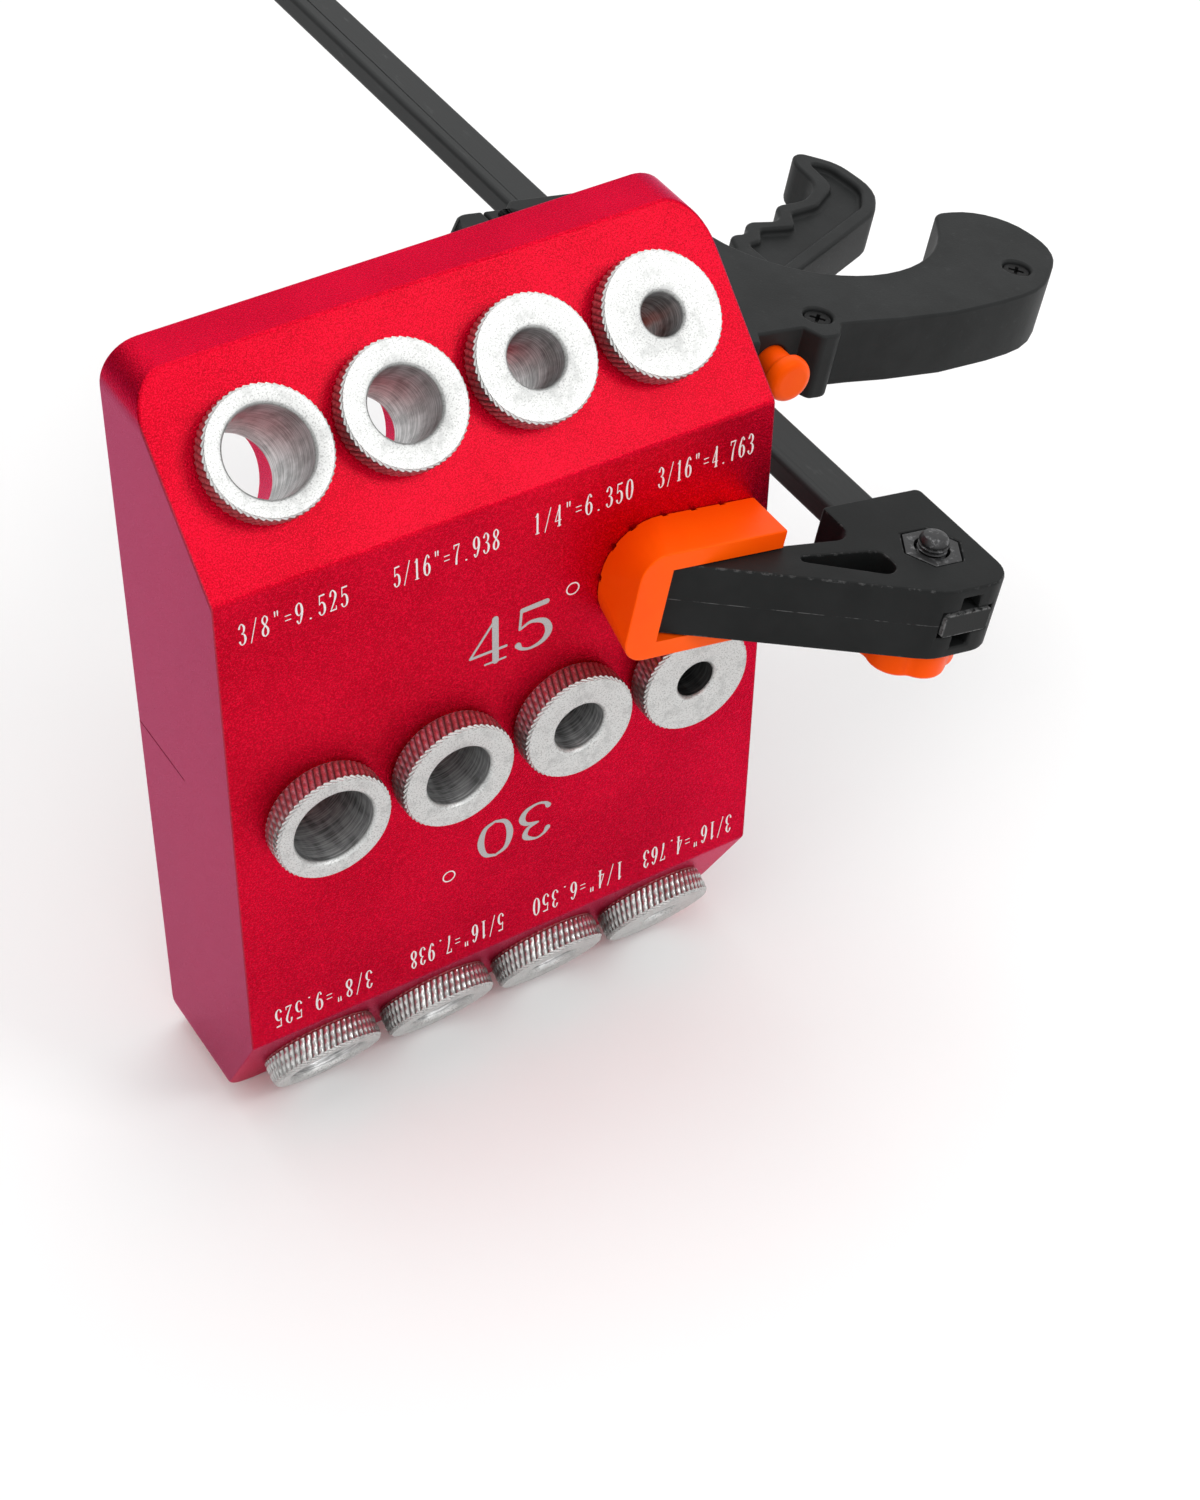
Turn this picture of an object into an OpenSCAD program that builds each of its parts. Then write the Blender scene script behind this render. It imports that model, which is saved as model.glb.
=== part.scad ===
// Angle drill guide: a drilled block with twelve bushings, held by a small trigger bar clamp.
// Millimetres. X runs across the block, Y from its front face to its back, Z up from the end
// it stands on. The clamp is drawn in its own frame: X away from the block, Y along the bar.

/* [Guide block] */
// Width of the block
block_w = 67; // [64:0.5:80]
// Depth of the block, front face to back face
block_d = 23; // [21:0.5:30]
// Height of the flat front face
front_h = 66; // [62:1:90]
// Height of each sloping end
slope_h = 17; // [16:0.5:20]
// Radius of the four outer corners
block_r = 4.5; // [1:0.5:6]
// Tilt of the upper row of bores from square
steep_angle = 45; // [35:1:48]
// Tilt of the lower row of bores from square
shallow_angle = 30; // [20:1:35]
// Depth of the index line on the block's left side
index_depth = 0.2; // [0.1:0.05:0.5]

/* [Bushings] */
// Bore of the largest bushing, three eighths of an inch
bore_a = 9.525; // [9:0.005:10]
// Bore of the second bushing, five sixteenths of an inch
bore_b = 7.9375; // [7.5:0.0005:8.5]
// Bore of the third bushing, a quarter of an inch
bore_c = 6.35; // [5.5:0.01:7]
// Bore of the smallest bushing, three sixteenths of an inch
bore_d = 4.7625; // [4:0.0005:5.2]
// Distance from the block's sides to the middles of the outer bores
edge_in = 10.55; // [9.5:0.05:11]
// Diameter of a bushing's head
head_d = 14; // [13.2:0.1:14.6]
// Thickness of a bushing's head
head_t = 3.25; // [2.5:0.05:4]
// Diameter of a bushing's shank
shank_d = 12; // [11.4:0.1:12.6]
// Length of a bushing's shank
shank_len = 12; // [8:0.5:13]
// Chamfer on the head's rims and on the bore's mouth
bush_chamfer = 0.5; // [0.2:0.05:0.8]
// Distance of the sloping rows past the middle of their faces
row_shift = 0.4; // [0:0.1:1]

/* [Clamp position] */
// Distance from the block's right side to the middle of the bar
bar_out = 13.4; // [12.5:0.1:16]
// Height of the bar above the middle row of bores
bar_over_row = 10.5; // [10:0.5:14]
// Turn of the clamp about the bar's direction
clamp_roll = 11.5; // [6:0.5:14]

/* [Bar] */
// Width of the bar
bar_w = 6.6; // [5.5:0.1:7]
// Thickness of the bar
bar_t = 3; // [2.4:0.1:3.4]
// Length of the bar
bar_len = 175.9; // [140:0.1:250]
// Radius of the bar's long edges
bar_r = 0.7; // [0.2:0.1:1.1]
// How far the bar reaches in front of the block
bar_front = 19.9; // [17.5:0.1:20]
// Diameter of the hanging hole
hang_hole_d = 3.4; // [2:0.2:4]
// Distance of the hanging hole from the bar's far end
hang_hole_in = 8; // [4:0.5:9]
// Diameter of the stop pin near the bar's far end
stop_pin_d = 2.4; // [1.5:0.1:3]
// Distance of the stop pin from the bar's far end
stop_pin_in = 15.7; // [14:0.5:30]
// How far the stop pin stands out of each side of the bar
stop_pin_stand = 0.9; // [0.5:0.1:1.5]

/* [Fixed jaw] */
// Thickness of the fixed jaw
jaw_t = 9.2; // [8.6:0.1:11]
// Distance from the bar's middle to the jaw's outer side
jaw_side = 6; // [5:0.1:8]
// How far the jaw's nose reaches in front of the block
jaw_nose = 19.7; // [19:0.1:24]
// Distance from the block's front face to the jaw's back
jaw_back = 1.2; // [0.8:0.1:3]
// Distance of the jaw bolt in front of the block's face
bolt_front = 11.6; // [10:0.1:12.5]

/* [Jaw screw] */
// Diameter of the jaw bolt
bolt_d = 4; // [3:0.1:4.2]
// How far the bolt's round end stands out of the jaw
bolt_stand = 1.7; // [0.5:0.1:3]
// Width of the hex nut across its flats
nut_af = 6.5; // [6:0.1:8]
// Height of the hex nut
nut_h = 1.9; // [1.5:0.1:2.1]
// Diameter of the knob over its lobes
knob_d = 12; // [10:0.5:15]
// Height of the knob
knob_h = 4.4; // [3:0.1:6]
// Number of lobes on the knob
knob_lobes = 6; // [4:1:7]

/* [Pads] */
// Thickness of a pad with its rim
pad_t = 6.8; // [5.5:0.1:7.5]
// Height of a pad
pad_h = 14; // [13:0.1:14.6]
// Length of a pad
pad_len = 18.8; // [17:0.1:20]
// Distance from the bar's middle to a pad's far end
pad_reach = 36; // [35:0.1:38]
// Thickness of a pad's plate between the arm and the work
pad_plate = 1.6; // [1:0.1:2]
// Thickness of the rim round the arm's tip, at its end
pad_end_wall = 4.3; // [3:0.1:5]

/* [Moving jaw] */
// Thickness of the housing and the grip
body_t = 9; // [8.8:0.1:10.5]
// Height of the joint between the shells above the bar's middle
split_z = 1.9; // [1.7:0.1:2.2]
// Distance from the pad's face to the housing's front
body_front = 10; // [9.8:0.1:10.4]
// Distance from the pad's face to the housing's back
body_back = 45; // [44.8:0.2:50]
// Distance from the bar's middle to the housing's inner side
body_in = 11.3; // [11:0.1:12]
// Radius of the round ridge over the drive spring
ridge_r = 6.1; // [5.9:0.1:6.8]
// Distance from the bar's middle to the grip's far end
grip_len = 62; // [62:0.5:70]
// Width of the collar round the bar at each end of the housing
collar_w = 12.8; // [11:0.1:13.4]
// How far the collar stands out of the housing
collar_t = 1.8; // [1:0.1:2]
// Thickness of the web between the rims of the moving arm
arm_web = 4.4; // [3:0.2:6]
// Diameter of a housing screw's head
screw_head_d = 3.4; // [2.8:0.1:3.8]
// Diameter of a housing screw's shank
screw_d = 1.9; // [1.4:0.1:2.2]

/* [Trigger] */
// Thickness of the trigger
trigger_t = 6.4; // [5:0.1:6.6]
// Distance of the trigger's pin from the bar's middle
pivot_out = 11; // [10.8:0.1:11.4]
// Distance of the trigger's pin from the pad's face
pivot_back = 25; // [24.8:0.1:25.4]
// Diameter of the trigger's pin
pivot_d = 3; // [2:0.1:3.4]
// Depth of the panel in each side of the trigger
panel_depth = 1.1; // [0.4:0.1:2]

/* [Lock and release] */
// Thickness of the drive plate and the brake plate
plate_t = 1.6; // [1.2:0.1:1.8]
// Tilt of the brake plate at rest
brake_tilt = 6; // [3:0.5:7]
// Distance of the release button from the bar's middle
button_out = 10.3; // [10:0.1:10.6]
// Diameter of the release button's head
button_head_d = 6; // [5:0.1:6.6]
// Diameter of the release button's neck
button_neck_d = 4.6; // [3.6:0.1:4.8]
// Height of the release button's head
button_head_t = 2.3; // [1.6:0.1:2.6]
// Outer radius of the drive spring
drive_spring_r = 4.5; // [4.3:0.05:4.6]
// Outer diameter of the brake spring
brake_spring_d = 4.4; // [3:0.1:5]

/* [Fits] */
// Radial clearance of a part that turns or slides in a bore
run_gap = 0.05; // [0.02:0.01:0.09]
// Clearance between parts that lie side by side
side_gap = 0.15; // [0.05:0.05:0.3]
// Clearance of the bar in the jaws
bar_gap = 0.1; // [0.05:0.05:0.15]

/* [Hidden] */
$fn = 64;
e = 0.01;

block_h = front_h + 2 * slope_h;
steep_d = slope_h * tan(steep_angle);
shallow_d = slope_h * tan(shallow_angle);
stand_y = (shallow_d + block_d) / 2;
row_z = slope_h + front_h / 2;
bar_up = row_z + bar_over_row;
bores = [bore_a, bore_b, bore_c, bore_d];
pitch = (block_w - 2 * edge_in) / 3;
row_45 = 0;
row_90 = 1;
row_30 = 2;

bar_far = bar_len - bar_front;
nut_z = jaw_t / 2 - nut_h;
knob_seat = 0.5;
grip_gap = 0.05;
knob_lobe_r = knob_d * 0.28;
pad_near = pad_reach - pad_len;
pad_bevel = 1.3;
pad_r = 6.4;
arm_tip = pad_reach - pad_end_wall;
arm_rest = pad_near + 0.4;

hand = grip_len / 62;
wall = 1.6 * hand;
cavity_h = trigger_t + 0.4;
chamber_front = body_front + wall;
room_out = pivot_out + 2.4 * hand;
room_in = bar_w / 2 + 5.5 * hand;
brake_room_back = pivot_back - 5.2 * hand;
drive_room_front = pivot_back + 3.3 * hand;
drive_plate_front = pivot_back + 3.6 * hand;
spring_back = body_back - 2 * hand;
plate_h = cavity_h - 0.4;
slot_w = bar_w + 0.3;
slot_h = bar_t + 0.4;
grip_centre = [33.4 * hand, 37.2 * hand];
grip_r = 18.3 * hand;
hub_r = 3.4 * hand;
nose_r = 1.1 * hand;
nose_out = pivot_out - 5.3 * hand;
plate_in = bar_w / 2 + 1.75 * hand;
plate_out = pivot_out - 3.05 * hand;
nose_back = drive_plate_front - nose_r - e;
button_tip = chamber_front + wall;
brake_pivot_out = -bar_w / 2 - 4.2 * hand;
brake_arm = button_out - brake_pivot_out;
tip_r = 1.3;
brake_pivot_back = button_tip + plate_t / 2 / cos(brake_tilt)
    + (brake_arm + tip_r) * tan(brake_tilt) + e;
brake_stop = brake_pivot_back - plate_t / 2 - 0.08;
screw_at = [
    hand * [53.1, 15.6], hand * [17.8, 12], [-8.4 * hand, body_front + 2.2 * hand],
    [12.1 * hand, body_back - 2.7 * hand], [-7.9 * hand, body_back - 2.5 * hand]
];
screw_seat = body_t / 2 - 1.4;
screw_len = body_t * 0.69;
spring_wire = 0.55;

// A vector of length one
function unit(v) = v / norm(v);

// A corner of an outline that keeps its proportion to the grip, with its radius
function h(x, y, r) = hand * [x, y, r];

// The arc that rounds corner p between a and b
function corner_arc(a, p, b, r) =
    let (u = unit(a - p), v = unit(b - p), half = acos(u * v) / 2)
    let (reach = r / tan(half), c = p + unit(u + v) * r / sin(half))
    let (s = p + u * reach - c, f = p + v * reach - c)
    let (from = atan2(s.y, s.x), turn = (atan2(f.y, f.x) - from + 540) % 360 - 180)
    let (steps = max(2, ceil(abs(turn) / 12)))
    [for (i = [0:steps]) c + r * [cos(from + turn * i / steps), sin(from + turn * i / steps)]];

// A closed outline from corners given as [x, y, radius]
function rounded(k) =
    [for (i = [0:len(k) - 1])
        let (a = k[(i + len(k) - 1) % len(k)], p = k[i], b = k[(i + 1) % len(k)])
        each (len(p) > 2 && p[2] > 0
            ? corner_arc([a.x, a.y], [p.x, p.y], [b.x, b.y], p[2])
            : [[p.x, p.y]])];

// A rectangle with round corners, centred
module rounded_rect(w, h, r) {
    square([w - 2 * r, h], center = true);
    square([w, h - 2 * r], center = true);
    for (x = [-1, 1], y = [-1, 1])
        translate([x * (w / 2 - r), y * (h / 2 - r)])
            circle(r);
}

// A flat shape as a plate from height low to height high
module plate(low, high) {
    translate([0, 0, low])
        linear_extrude(high - low)
            children();
}

// A round rod along Y
module rod_y(r, y0, y1) {
    translate([0, y0, 0])
        rotate([-90, 0, 0])
            cylinder(r = r, h = y1 - y0);
}

// Puts the block's front lower left corner where it stands in the part's frame
module on_stand() {
    translate([-block_w / 2, -stand_y, 0])
        children();
}

// The clamp's own frame: the bar's middle at the block's front face
module in_clamp() {
    on_stand()
        translate([block_w + bar_out, 0, bar_up])
            rotate([0, clamp_roll, 0])
                children();
}

// The moving jaw's frame: the face of the rear pad
module in_moving() {
    in_clamp()
        translate([0, block_d, 0])
            children();
}

// The seat of one bushing, with +Z out of the block
module at_seat(row, i) {
    tilt = row == row_45 ? steep_angle : row == row_30 ? -shallow_angle : 0;
    along = row == row_90 ? 0 : slope_h / cos(tilt) / 2 + row_shift;
    edge_z = row == row_45 ? slope_h + front_h : row == row_30 ? slope_h : row_z;
    up = row == row_30 ? -1 : 1;
    translate([edge_in + i * pitch, along * sin(abs(tilt)), edge_z + up * along * cos(tilt)])
        rotate([90 - tilt, 0, 0])
            children();
}

// Side view of the block as [y, z]
module block_side() {
    polygon([
        [0, slope_h], [shallow_d, 0], [block_d, 0], [block_d, block_h],
        [steep_d, block_h], [0, block_h - slope_h]
    ]);
}

module guide_block() {
    color("crimson")
    on_stand()
    difference() {
        intersection() {
            rotate([90, 0, 90])
                linear_extrude(block_w)
                    block_side();
            translate([block_w / 2, block_d + 1, block_h / 2])
                rotate([90, 0, 0])
                    linear_extrude(block_d + 2)
                        rounded_rect(block_w, block_h, block_r);
        }
        for (row = [row_45, row_90, row_30], i = [0:3])
            at_seat(row, i)
                translate([0, 0, -3 * block_d])
                    cylinder(d = shank_d + 2 * run_gap, h = 3 * block_d + 20);
        translate([-1, block_d / 2, row_z - index_depth / 2])
            cube([1 + index_depth, block_d, index_depth]);
    }
}

module drill_bushing(row, i) {
    bore_r = bores[i] / 2;
    c = bush_chamfer;
    color("silver")
    on_stand()
    at_seat(row, i)
        rotate_extrude()
            polygon([
                [bore_r, -shank_len], [shank_d / 2 - c, -shank_len], [shank_d / 2, -shank_len + c],
                [shank_d / 2, 0], [head_d / 2 - c, 0], [head_d / 2, c],
                [head_d / 2, head_t - c], [head_d / 2 - c, head_t], [bore_r + c, head_t],
                [bore_r, head_t - c]
            ]);
}

module bar() {
    color("dimgray")
    in_clamp()
    difference() {
        translate([0, -bar_front, 0])
            rotate([-90, 0, 0])
                linear_extrude(bar_len)
                    rounded_rect(bar_w, bar_t, bar_r);
        translate([0, -bolt_front, -bar_t])
            cylinder(d = bolt_d + 2 * run_gap, h = 2 * bar_t);
        translate([0, bar_far - hang_hole_in, -bar_t])
            cylinder(d = hang_hole_d, h = 2 * bar_t);
        translate([0, bar_far - stop_pin_in, -bar_t])
            cylinder(d = stop_pin_d + 2 * run_gap, h = 2 * bar_t);
    }
}

module bar_stop_pin() {
    reach = bar_t / 2 + stop_pin_stand;
    color("gray")
    in_clamp()
    translate([0, bar_far - stop_pin_in, 0])
        rotate_extrude()
            polygon([
                [0, -reach], [stop_pin_d / 2 - 0.3, -reach], [stop_pin_d / 2, -reach + 0.3],
                [stop_pin_d / 2, reach - 0.3], [stop_pin_d / 2 - 0.3, reach], [0, reach]
            ]);
}

// Outline of the fixed jaw: the block round the bar, the nose, and the arm to the pad
function jaw_corners() = [
    [jaw_side, -jaw_back, 0.8], [jaw_side, -jaw_nose, 3.6], [-3.4, -jaw_nose, 6],
    [-arm_tip, -pad_t + 1.6, 0.4], [-arm_tip, -pad_plate, 0], [-arm_rest, -pad_plate, 0], [-arm_rest, -6.1, 0.4],
    [-jaw_side - 1.9, -7.4, 2], [-jaw_side - 1.9, -jaw_back, 0.5]
];

module fixed_jaw() {
    color("#2b2c2d")
    in_clamp()
    difference() {
        plate(-jaw_t / 2, jaw_t / 2)
            polygon(rounded(jaw_corners()));
        translate([-bar_w / 2 - bar_gap, -jaw_nose - 1, -bar_t / 2 - bar_gap])
            cube([bar_w + 2 * bar_gap, jaw_nose + 2, bar_t + 2 * bar_gap]);
        translate([-1.2, -jaw_nose - 1, -jaw_t * 0.36])
            cube([2.4, 3.4, jaw_t * 0.72]);
        translate([0, -bolt_front, -jaw_t])
            cylinder(d = bolt_d + 2 * run_gap, h = 2 * jaw_t);
        translate([0, -bolt_front, nut_z - 0.05])
            cylinder(d = (nut_af + 0.2) / cos(30), h = jaw_t, $fn = 6);
        plate(-jaw_t, jaw_t)
            polygon(rounded([[-6.5, -15.4, 1.5], [-18.5, -8.2, 0.5], [-6.4, -10.4, 1.3]]));
    }
}

// A pad: a plate on the work and a rim round the arm's tip, open in front and at the bar's side
module pad_shape() {
    module face(inset, depth) {
        rotate([90, 0, 0])
            linear_extrude(depth)
                polygon(rounded([
                    [-pad_near - inset, -pad_h / 2 + inset, 0.6],
                    [-pad_near - inset, pad_h / 2 - inset, 0.6],
                    [-pad_reach + inset, pad_h / 2 - inset, pad_r - inset],
                    [-pad_reach + inset, -pad_h / 2 + inset, pad_r - inset]
                ]));
    }
    difference() {
        hull() {
            translate([0, -grip_gap, 0])
                face(0.4, 0.5);
            translate([0, -0.4, 0])
                face(0, pad_t - pad_bevel - 0.4);
            face(pad_bevel, pad_t);
        }
        translate([-arm_tip - side_gap, -pad_t - 1, -jaw_t / 2 - side_gap])
            cube([arm_tip, pad_t + 1 - pad_plate, jaw_t + 2 * side_gap]);
    }
}

module front_pad() {
    color("darkorange")
    in_clamp()
        pad_shape();
}

module rear_pad() {
    color("darkorange")
    in_moving()
        mirror([0, 1, 0])
            pad_shape();
}

module jaw_nut() {
    color("dimgray")
    in_clamp()
    translate([0, -bolt_front, nut_z])
        difference() {
            cylinder(d = nut_af / cos(30), h = nut_h - 0.05, $fn = 6);
            translate([0, 0, -1])
                cylinder(d = bolt_d + 2 * run_gap, h = nut_h + 2);
        }
}

module jaw_bolt() {
    top = jaw_t / 2 + bolt_stand;
    low = -jaw_t / 2 - knob_seat - knob_h * 0.6;
    color("gray")
    in_clamp()
    translate([0, -bolt_front, 0])
        rotate_extrude()
            polygon([
                [0, low], [bolt_d / 2, low], [bolt_d / 2, top - 0.8],
                [bolt_d / 2 - 0.3, top - 0.25], [bolt_d / 2 - 0.8, top], [0, top]
            ]);
}

module jaw_knob() {
    top = -jaw_t / 2 - run_gap;
    color("darkorange")
    in_clamp()
    translate([0, -bolt_front, 0])
    difference() {
        union() {
            plate(top - knob_seat, top)
                circle(d = knob_d * 0.58);
            plate(top - knob_seat - knob_h, top - knob_seat) {
                circle(d = knob_d * 0.74);
                for (i = [0:knob_lobes - 1])
                    rotate(-90 - i * 360 / knob_lobes)
                        translate([knob_d / 2 - knob_lobe_r, 0])
                            circle(knob_lobe_r);
            }
        }
        translate([0, 0, -jaw_t / 2 - knob_seat - knob_h * 0.6])
            cylinder(d = bolt_d + 2 * run_gap, h = jaw_t);
    }
}

// Outline of the housing and the grip, with the housing's inner side at distance inner
function body_corners(inner) = [
    [-inner, body_front, 0.4], [-collar_w / 2 - 0.9, body_front, 0.3],
    [-collar_w / 2, body_front - collar_t, 0.4], [collar_w / 2, body_front - collar_t, 0.4],
    [collar_w / 2 + 0.9, body_front, 0.3], [14.1 * hand, body_front, 0.2],
    [15.3 * hand, body_front - 2.7 * hand, 1.1], [17.9 * hand, body_front - 2.8 * hand, 1.6],
    [19.6 * hand, body_front - 0.5, 0.6], h(23, 9.2, 3), h(37, 7.4, 60), h(53.6, 10, 14),
    h(62.2, 18, 8), h(60.6, 30.2, 8.5), h(51, 30.9, 2.2),
    each [for (t = [-33:-7:-180]) grip_centre + grip_r * [cos(t), sin(t)]],
    [grip_centre.x - grip_r, body_back, 1.2], [collar_w / 2 + 0.9, body_back, 0.3],
    [collar_w / 2 - 0.1, body_back + collar_t, 0.5], [-collar_w / 2, body_back + collar_t, 1.3],
    [-collar_w / 2 - 1.4, body_back, 0.3], [-inner, body_back, 0]
];

// Outline of the moving arm, from the housing to the tip in the pad
function arm_corners() = [
    [-body_in - 0.2, body_back, 0], [-body_in - 3.6 * hand, body_back, 2.4],
    h(-18.8, 40.6, 3), h(-28.9, 11.6, 4), [-arm_tip, pad_t + 0.6, 0.5],
    [-arm_tip, pad_plate, 0], [-arm_rest, pad_plate, 0], [-arm_rest, pad_t + 1, 0.6],
    [-body_in - 3.4 * hand, body_front + 0.3, 1], [-body_in - 0.2, body_front + 0.3, 0]
];

// The round ridge over the drive spring, tapered at both ends
module ridge() {
    rotate([-90, 0, 0])
        rotate_extrude()
            polygon([
                [0, body_front + 1], [body_t / 2 - 0.2, body_front + 1],
                [ridge_r, body_front + 2 * wall], [ridge_r, body_back - 2 * wall],
                [body_t / 2 - 0.2, body_back - 0.8], [0, body_back - 0.8]
            ]);
}

// The place of the trigger in the housing, with room for its whole stroke
module trigger_room() {
    polygon(rounded([
        [pivot_out - 4 * hand, pivot_back - 3.8 * hand, 2],
        [pivot_out + 3.2 * hand, pivot_back - 4.2 * hand, 1],
        h(17.4, 19.5, 0), h(28, 19.5, 0), h(28, 31.9, 0), h(15, 30.5, 2),
        [pivot_out - 2.8 * hand, drive_room_front + 1.2, 0],
        [nose_out - 1.7, drive_room_front + 0.1, 0], [nose_out - 1.7, pivot_back + 0.8, 0.8]
    ]));
}

// Everything hollow in the housing
module hollow() {
    translate([-bar_w / 2 - bar_gap, 0, -bar_t / 2 - bar_gap])
        cube([bar_w + 2 * bar_gap, 2 * body_back, bar_t + 2 * bar_gap]);
    plate(-cavity_h / 2, cavity_h / 2) {
        polygon([
            [-room_in, brake_stop], [brake_pivot_out, brake_stop],
            [brake_pivot_out + 1.1 * hand, chamber_front + 2.4 * hand],
            [brake_pivot_out + 2.5 * hand, chamber_front], [room_out, chamber_front],
            [room_out, brake_room_back], [-room_in, brake_room_back]
        ]);
        translate([-plate_in - 0.3, drive_room_front])
            square([plate_in + plate_out + 0.6, 4.4 * hand]);
    }
    rod_y(drive_spring_r + 0.35, drive_room_front, spring_back);
    plate(-trigger_t / 2 - 0.2, trigger_t / 2 + 0.2)
        trigger_room();
    translate([pivot_out, pivot_back, -body_t / 2 + 0.6])
        cylinder(d = pivot_d + 2 * run_gap, h = body_t - 1.2);
    translate([button_out, 0, 0])
        rod_y(button_neck_d / 2 + run_gap, 0, chamber_front + 1);
}

// Holes for the housing screws: pilots in the lower shell, seats in the cover
module screw_holes() {
    for (p = screw_at)
        translate([p.x, p.y, 0]) {
            translate([0, 0, screw_seat - screw_len])
                cylinder(d = screw_d + 2 * run_gap, h = 2 * screw_len);
            translate([0, 0, screw_seat])
                cylinder(d = screw_head_d + 0.4, h = body_t);
        }
}

module moving_jaw() {
    color("#2b2c2d")
    in_moving()
    difference() {
        union() {
            plate(-body_t / 2, split_z)
                polygon(rounded(body_corners(body_in + 0.7)));
            plate(-body_t / 2, body_t / 2)
                polygon(rounded(arm_corners()));
            intersection() {
                ridge();
                translate([-20, 0, -20])
                    cube([40, 2 * body_back, 20 + split_z]);
            }
        }
        hollow();
        screw_holes();
        for (s = [-1, 1])
            translate([0, 0, s * (arm_web + body_t) / 2])
                plate(-body_t / 2, body_t / 2) {
                    polygon(rounded([
                        h(-13.4, 13, 0.5), [-18.3 * hand, pad_t + 1.9, 0.6],
                        [-25.2 * hand, pad_t + 1.9, 0.5], h(-14.9, 41.2, 0.5),
                        h(-13.4, 41.2, 0.5)
                    ]));
                    polygon(hand * [[-27.1, 13], [-26.6, 13], [-17.2, 40.6], [-17.7, 40.6]]);
                }
        plate(-body_t, body_t)
            intersection_for(s = [-1, 1])
                translate([s * 18.1 - 17.95, s * 5.4 + 21.95] * hand)
                    circle(21 * hand);
    }
}

module side_cover() {
    color("#303132")
    in_moving()
    difference() {
        union() {
            plate(split_z, body_t / 2)
                polygon(rounded(body_corners(body_in)));
            intersection() {
                ridge();
                translate([-20, 0, split_z])
                    cube([40, 2 * body_back, 20]);
            }
        }
        hollow();
        screw_holes();
    }
}

module cover_screws() {
    color("#1c1c1d")
    in_moving()
    for (p = screw_at)
        translate([p.x, p.y, 0])
            difference() {
                union() {
                    translate([0, 0, screw_seat - screw_len + 0.4])
                        cylinder(d = screw_d, h = screw_len);
                    translate([0, 0, screw_seat])
                        cylinder(d = screw_head_d, h = 1);
                }
                for (a = [45, 135])
                    translate([0, 0, screw_seat + 1])
                        rotate([0, 0, a])
                            cube([screw_head_d * 0.6, 0.45, 1.2], center = true);
            }
}

// Outline of the trigger: the hub, the grip, its finger scallops and the nose
function trigger_corners() = [
    each [for (t = [190:16:270]) [pivot_out, pivot_back] + hub_r * [cos(t), sin(t)]],
    h(21, 22.6, 4), h(44.4, 34.9, 7), h(48.7, 40.2, 8), h(47.8, 48.2, 6), h(43.2, 52.6, 1.6),
    h(41.1, 49.6, 5), h(40.7, 43.4, 5), h(36.2, 40.1, 6), h(31.2, 39.8, 1.8), h(29.3, 36, 2.2),
    h(24.2, 36.9, 1.8), h(22.6, 34, 2), h(20, 34.5, 1.4), h(18.6, 30.7, 1.6),
    [pivot_out + 1.6 * hand, pivot_back + hub_r, 1],
    each [for (t = [70:25:220]) [nose_out, nose_back] + nose_r * [cos(t), sin(t)]]
];

// Outline of the panel in each side of the trigger
function panel_corners() = [
    h(21.4, 25.2, 0.8), h(43.4, 36.8, 3.6), h(46.5, 41, 4.4), h(45.8, 47.4, 3),
    h(43.5, 49.2, 0.6), h(43, 42.6, 4), h(37.2, 38.3, 4), h(32.3, 37.4, 1), h(30.4, 34, 1.6),
    h(25.2, 34.6, 1.2), h(23.4, 31.9, 1.4), h(21.2, 31.5, 0.8)
];

module trigger() {
    color("#2e2f30")
    in_moving()
    difference() {
        plate(-trigger_t / 2, trigger_t / 2)
            polygon(rounded(trigger_corners()));
        translate([pivot_out, pivot_back, -body_t])
            cylinder(d = pivot_d + 2 * run_gap, h = 2 * body_t);
        for (s = [-1, 1])
            translate([0, 0, s * (trigger_t / 2 - panel_depth + body_t / 2)])
                plate(-body_t / 2, body_t / 2)
                    polygon(rounded(panel_corners()));
    }
}

module trigger_pin() {
    color("silver")
    in_moving()
    translate([pivot_out, pivot_back, -body_t / 2 + 0.65])
        cylinder(d = pivot_d, h = body_t - 1.3);
}

module drive_plate() {
    color("silver")
    in_moving()
    translate([0, drive_plate_front, 0])
        rotate([-90, 0, 0])
            linear_extrude(plate_t)
                difference() {
                    translate([(plate_out - plate_in) / 2, 0])
                        rounded_rect(plate_out + plate_in, plate_h, 0.8);
                    square([slot_w, slot_h], center = true);
                }
}

module drive_spring() {
    start = drive_plate_front + plate_t + 0.05;
    finish = spring_back - 0.05;
    color("silver")
    in_moving()
    difference() {
        rod_y(drive_spring_r, start, finish);
        rod_y(drive_spring_r - spring_wire, start - 1, finish + 1);
    }
}

module release_button() {
    head = body_front - 2.1 * button_head_t;
    color("darkorange")
    in_moving()
    translate([button_out, 0, 0])
        rotate([-90, 0, 0])
            rotate_extrude()
                polygon([
                    [0, head], [button_head_d / 2 - 0.9, head], [button_head_d / 2 - 0.25, head + 0.3],
                    [button_head_d / 2, head + 0.9], [button_head_d / 2, head + button_head_t - 0.4],
                    [button_neck_d / 2, head + button_head_t],
                    [button_neck_d / 2, chamber_front + 0.1], [2.8, chamber_front + 0.1],
                    [2.8, chamber_front + 0.9],
                    [tip_r + 0.3, chamber_front + 0.9], [tip_r + 0.3, button_tip - 0.3],
                    [tip_r, button_tip], [0, button_tip]
                ]);
}

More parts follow.
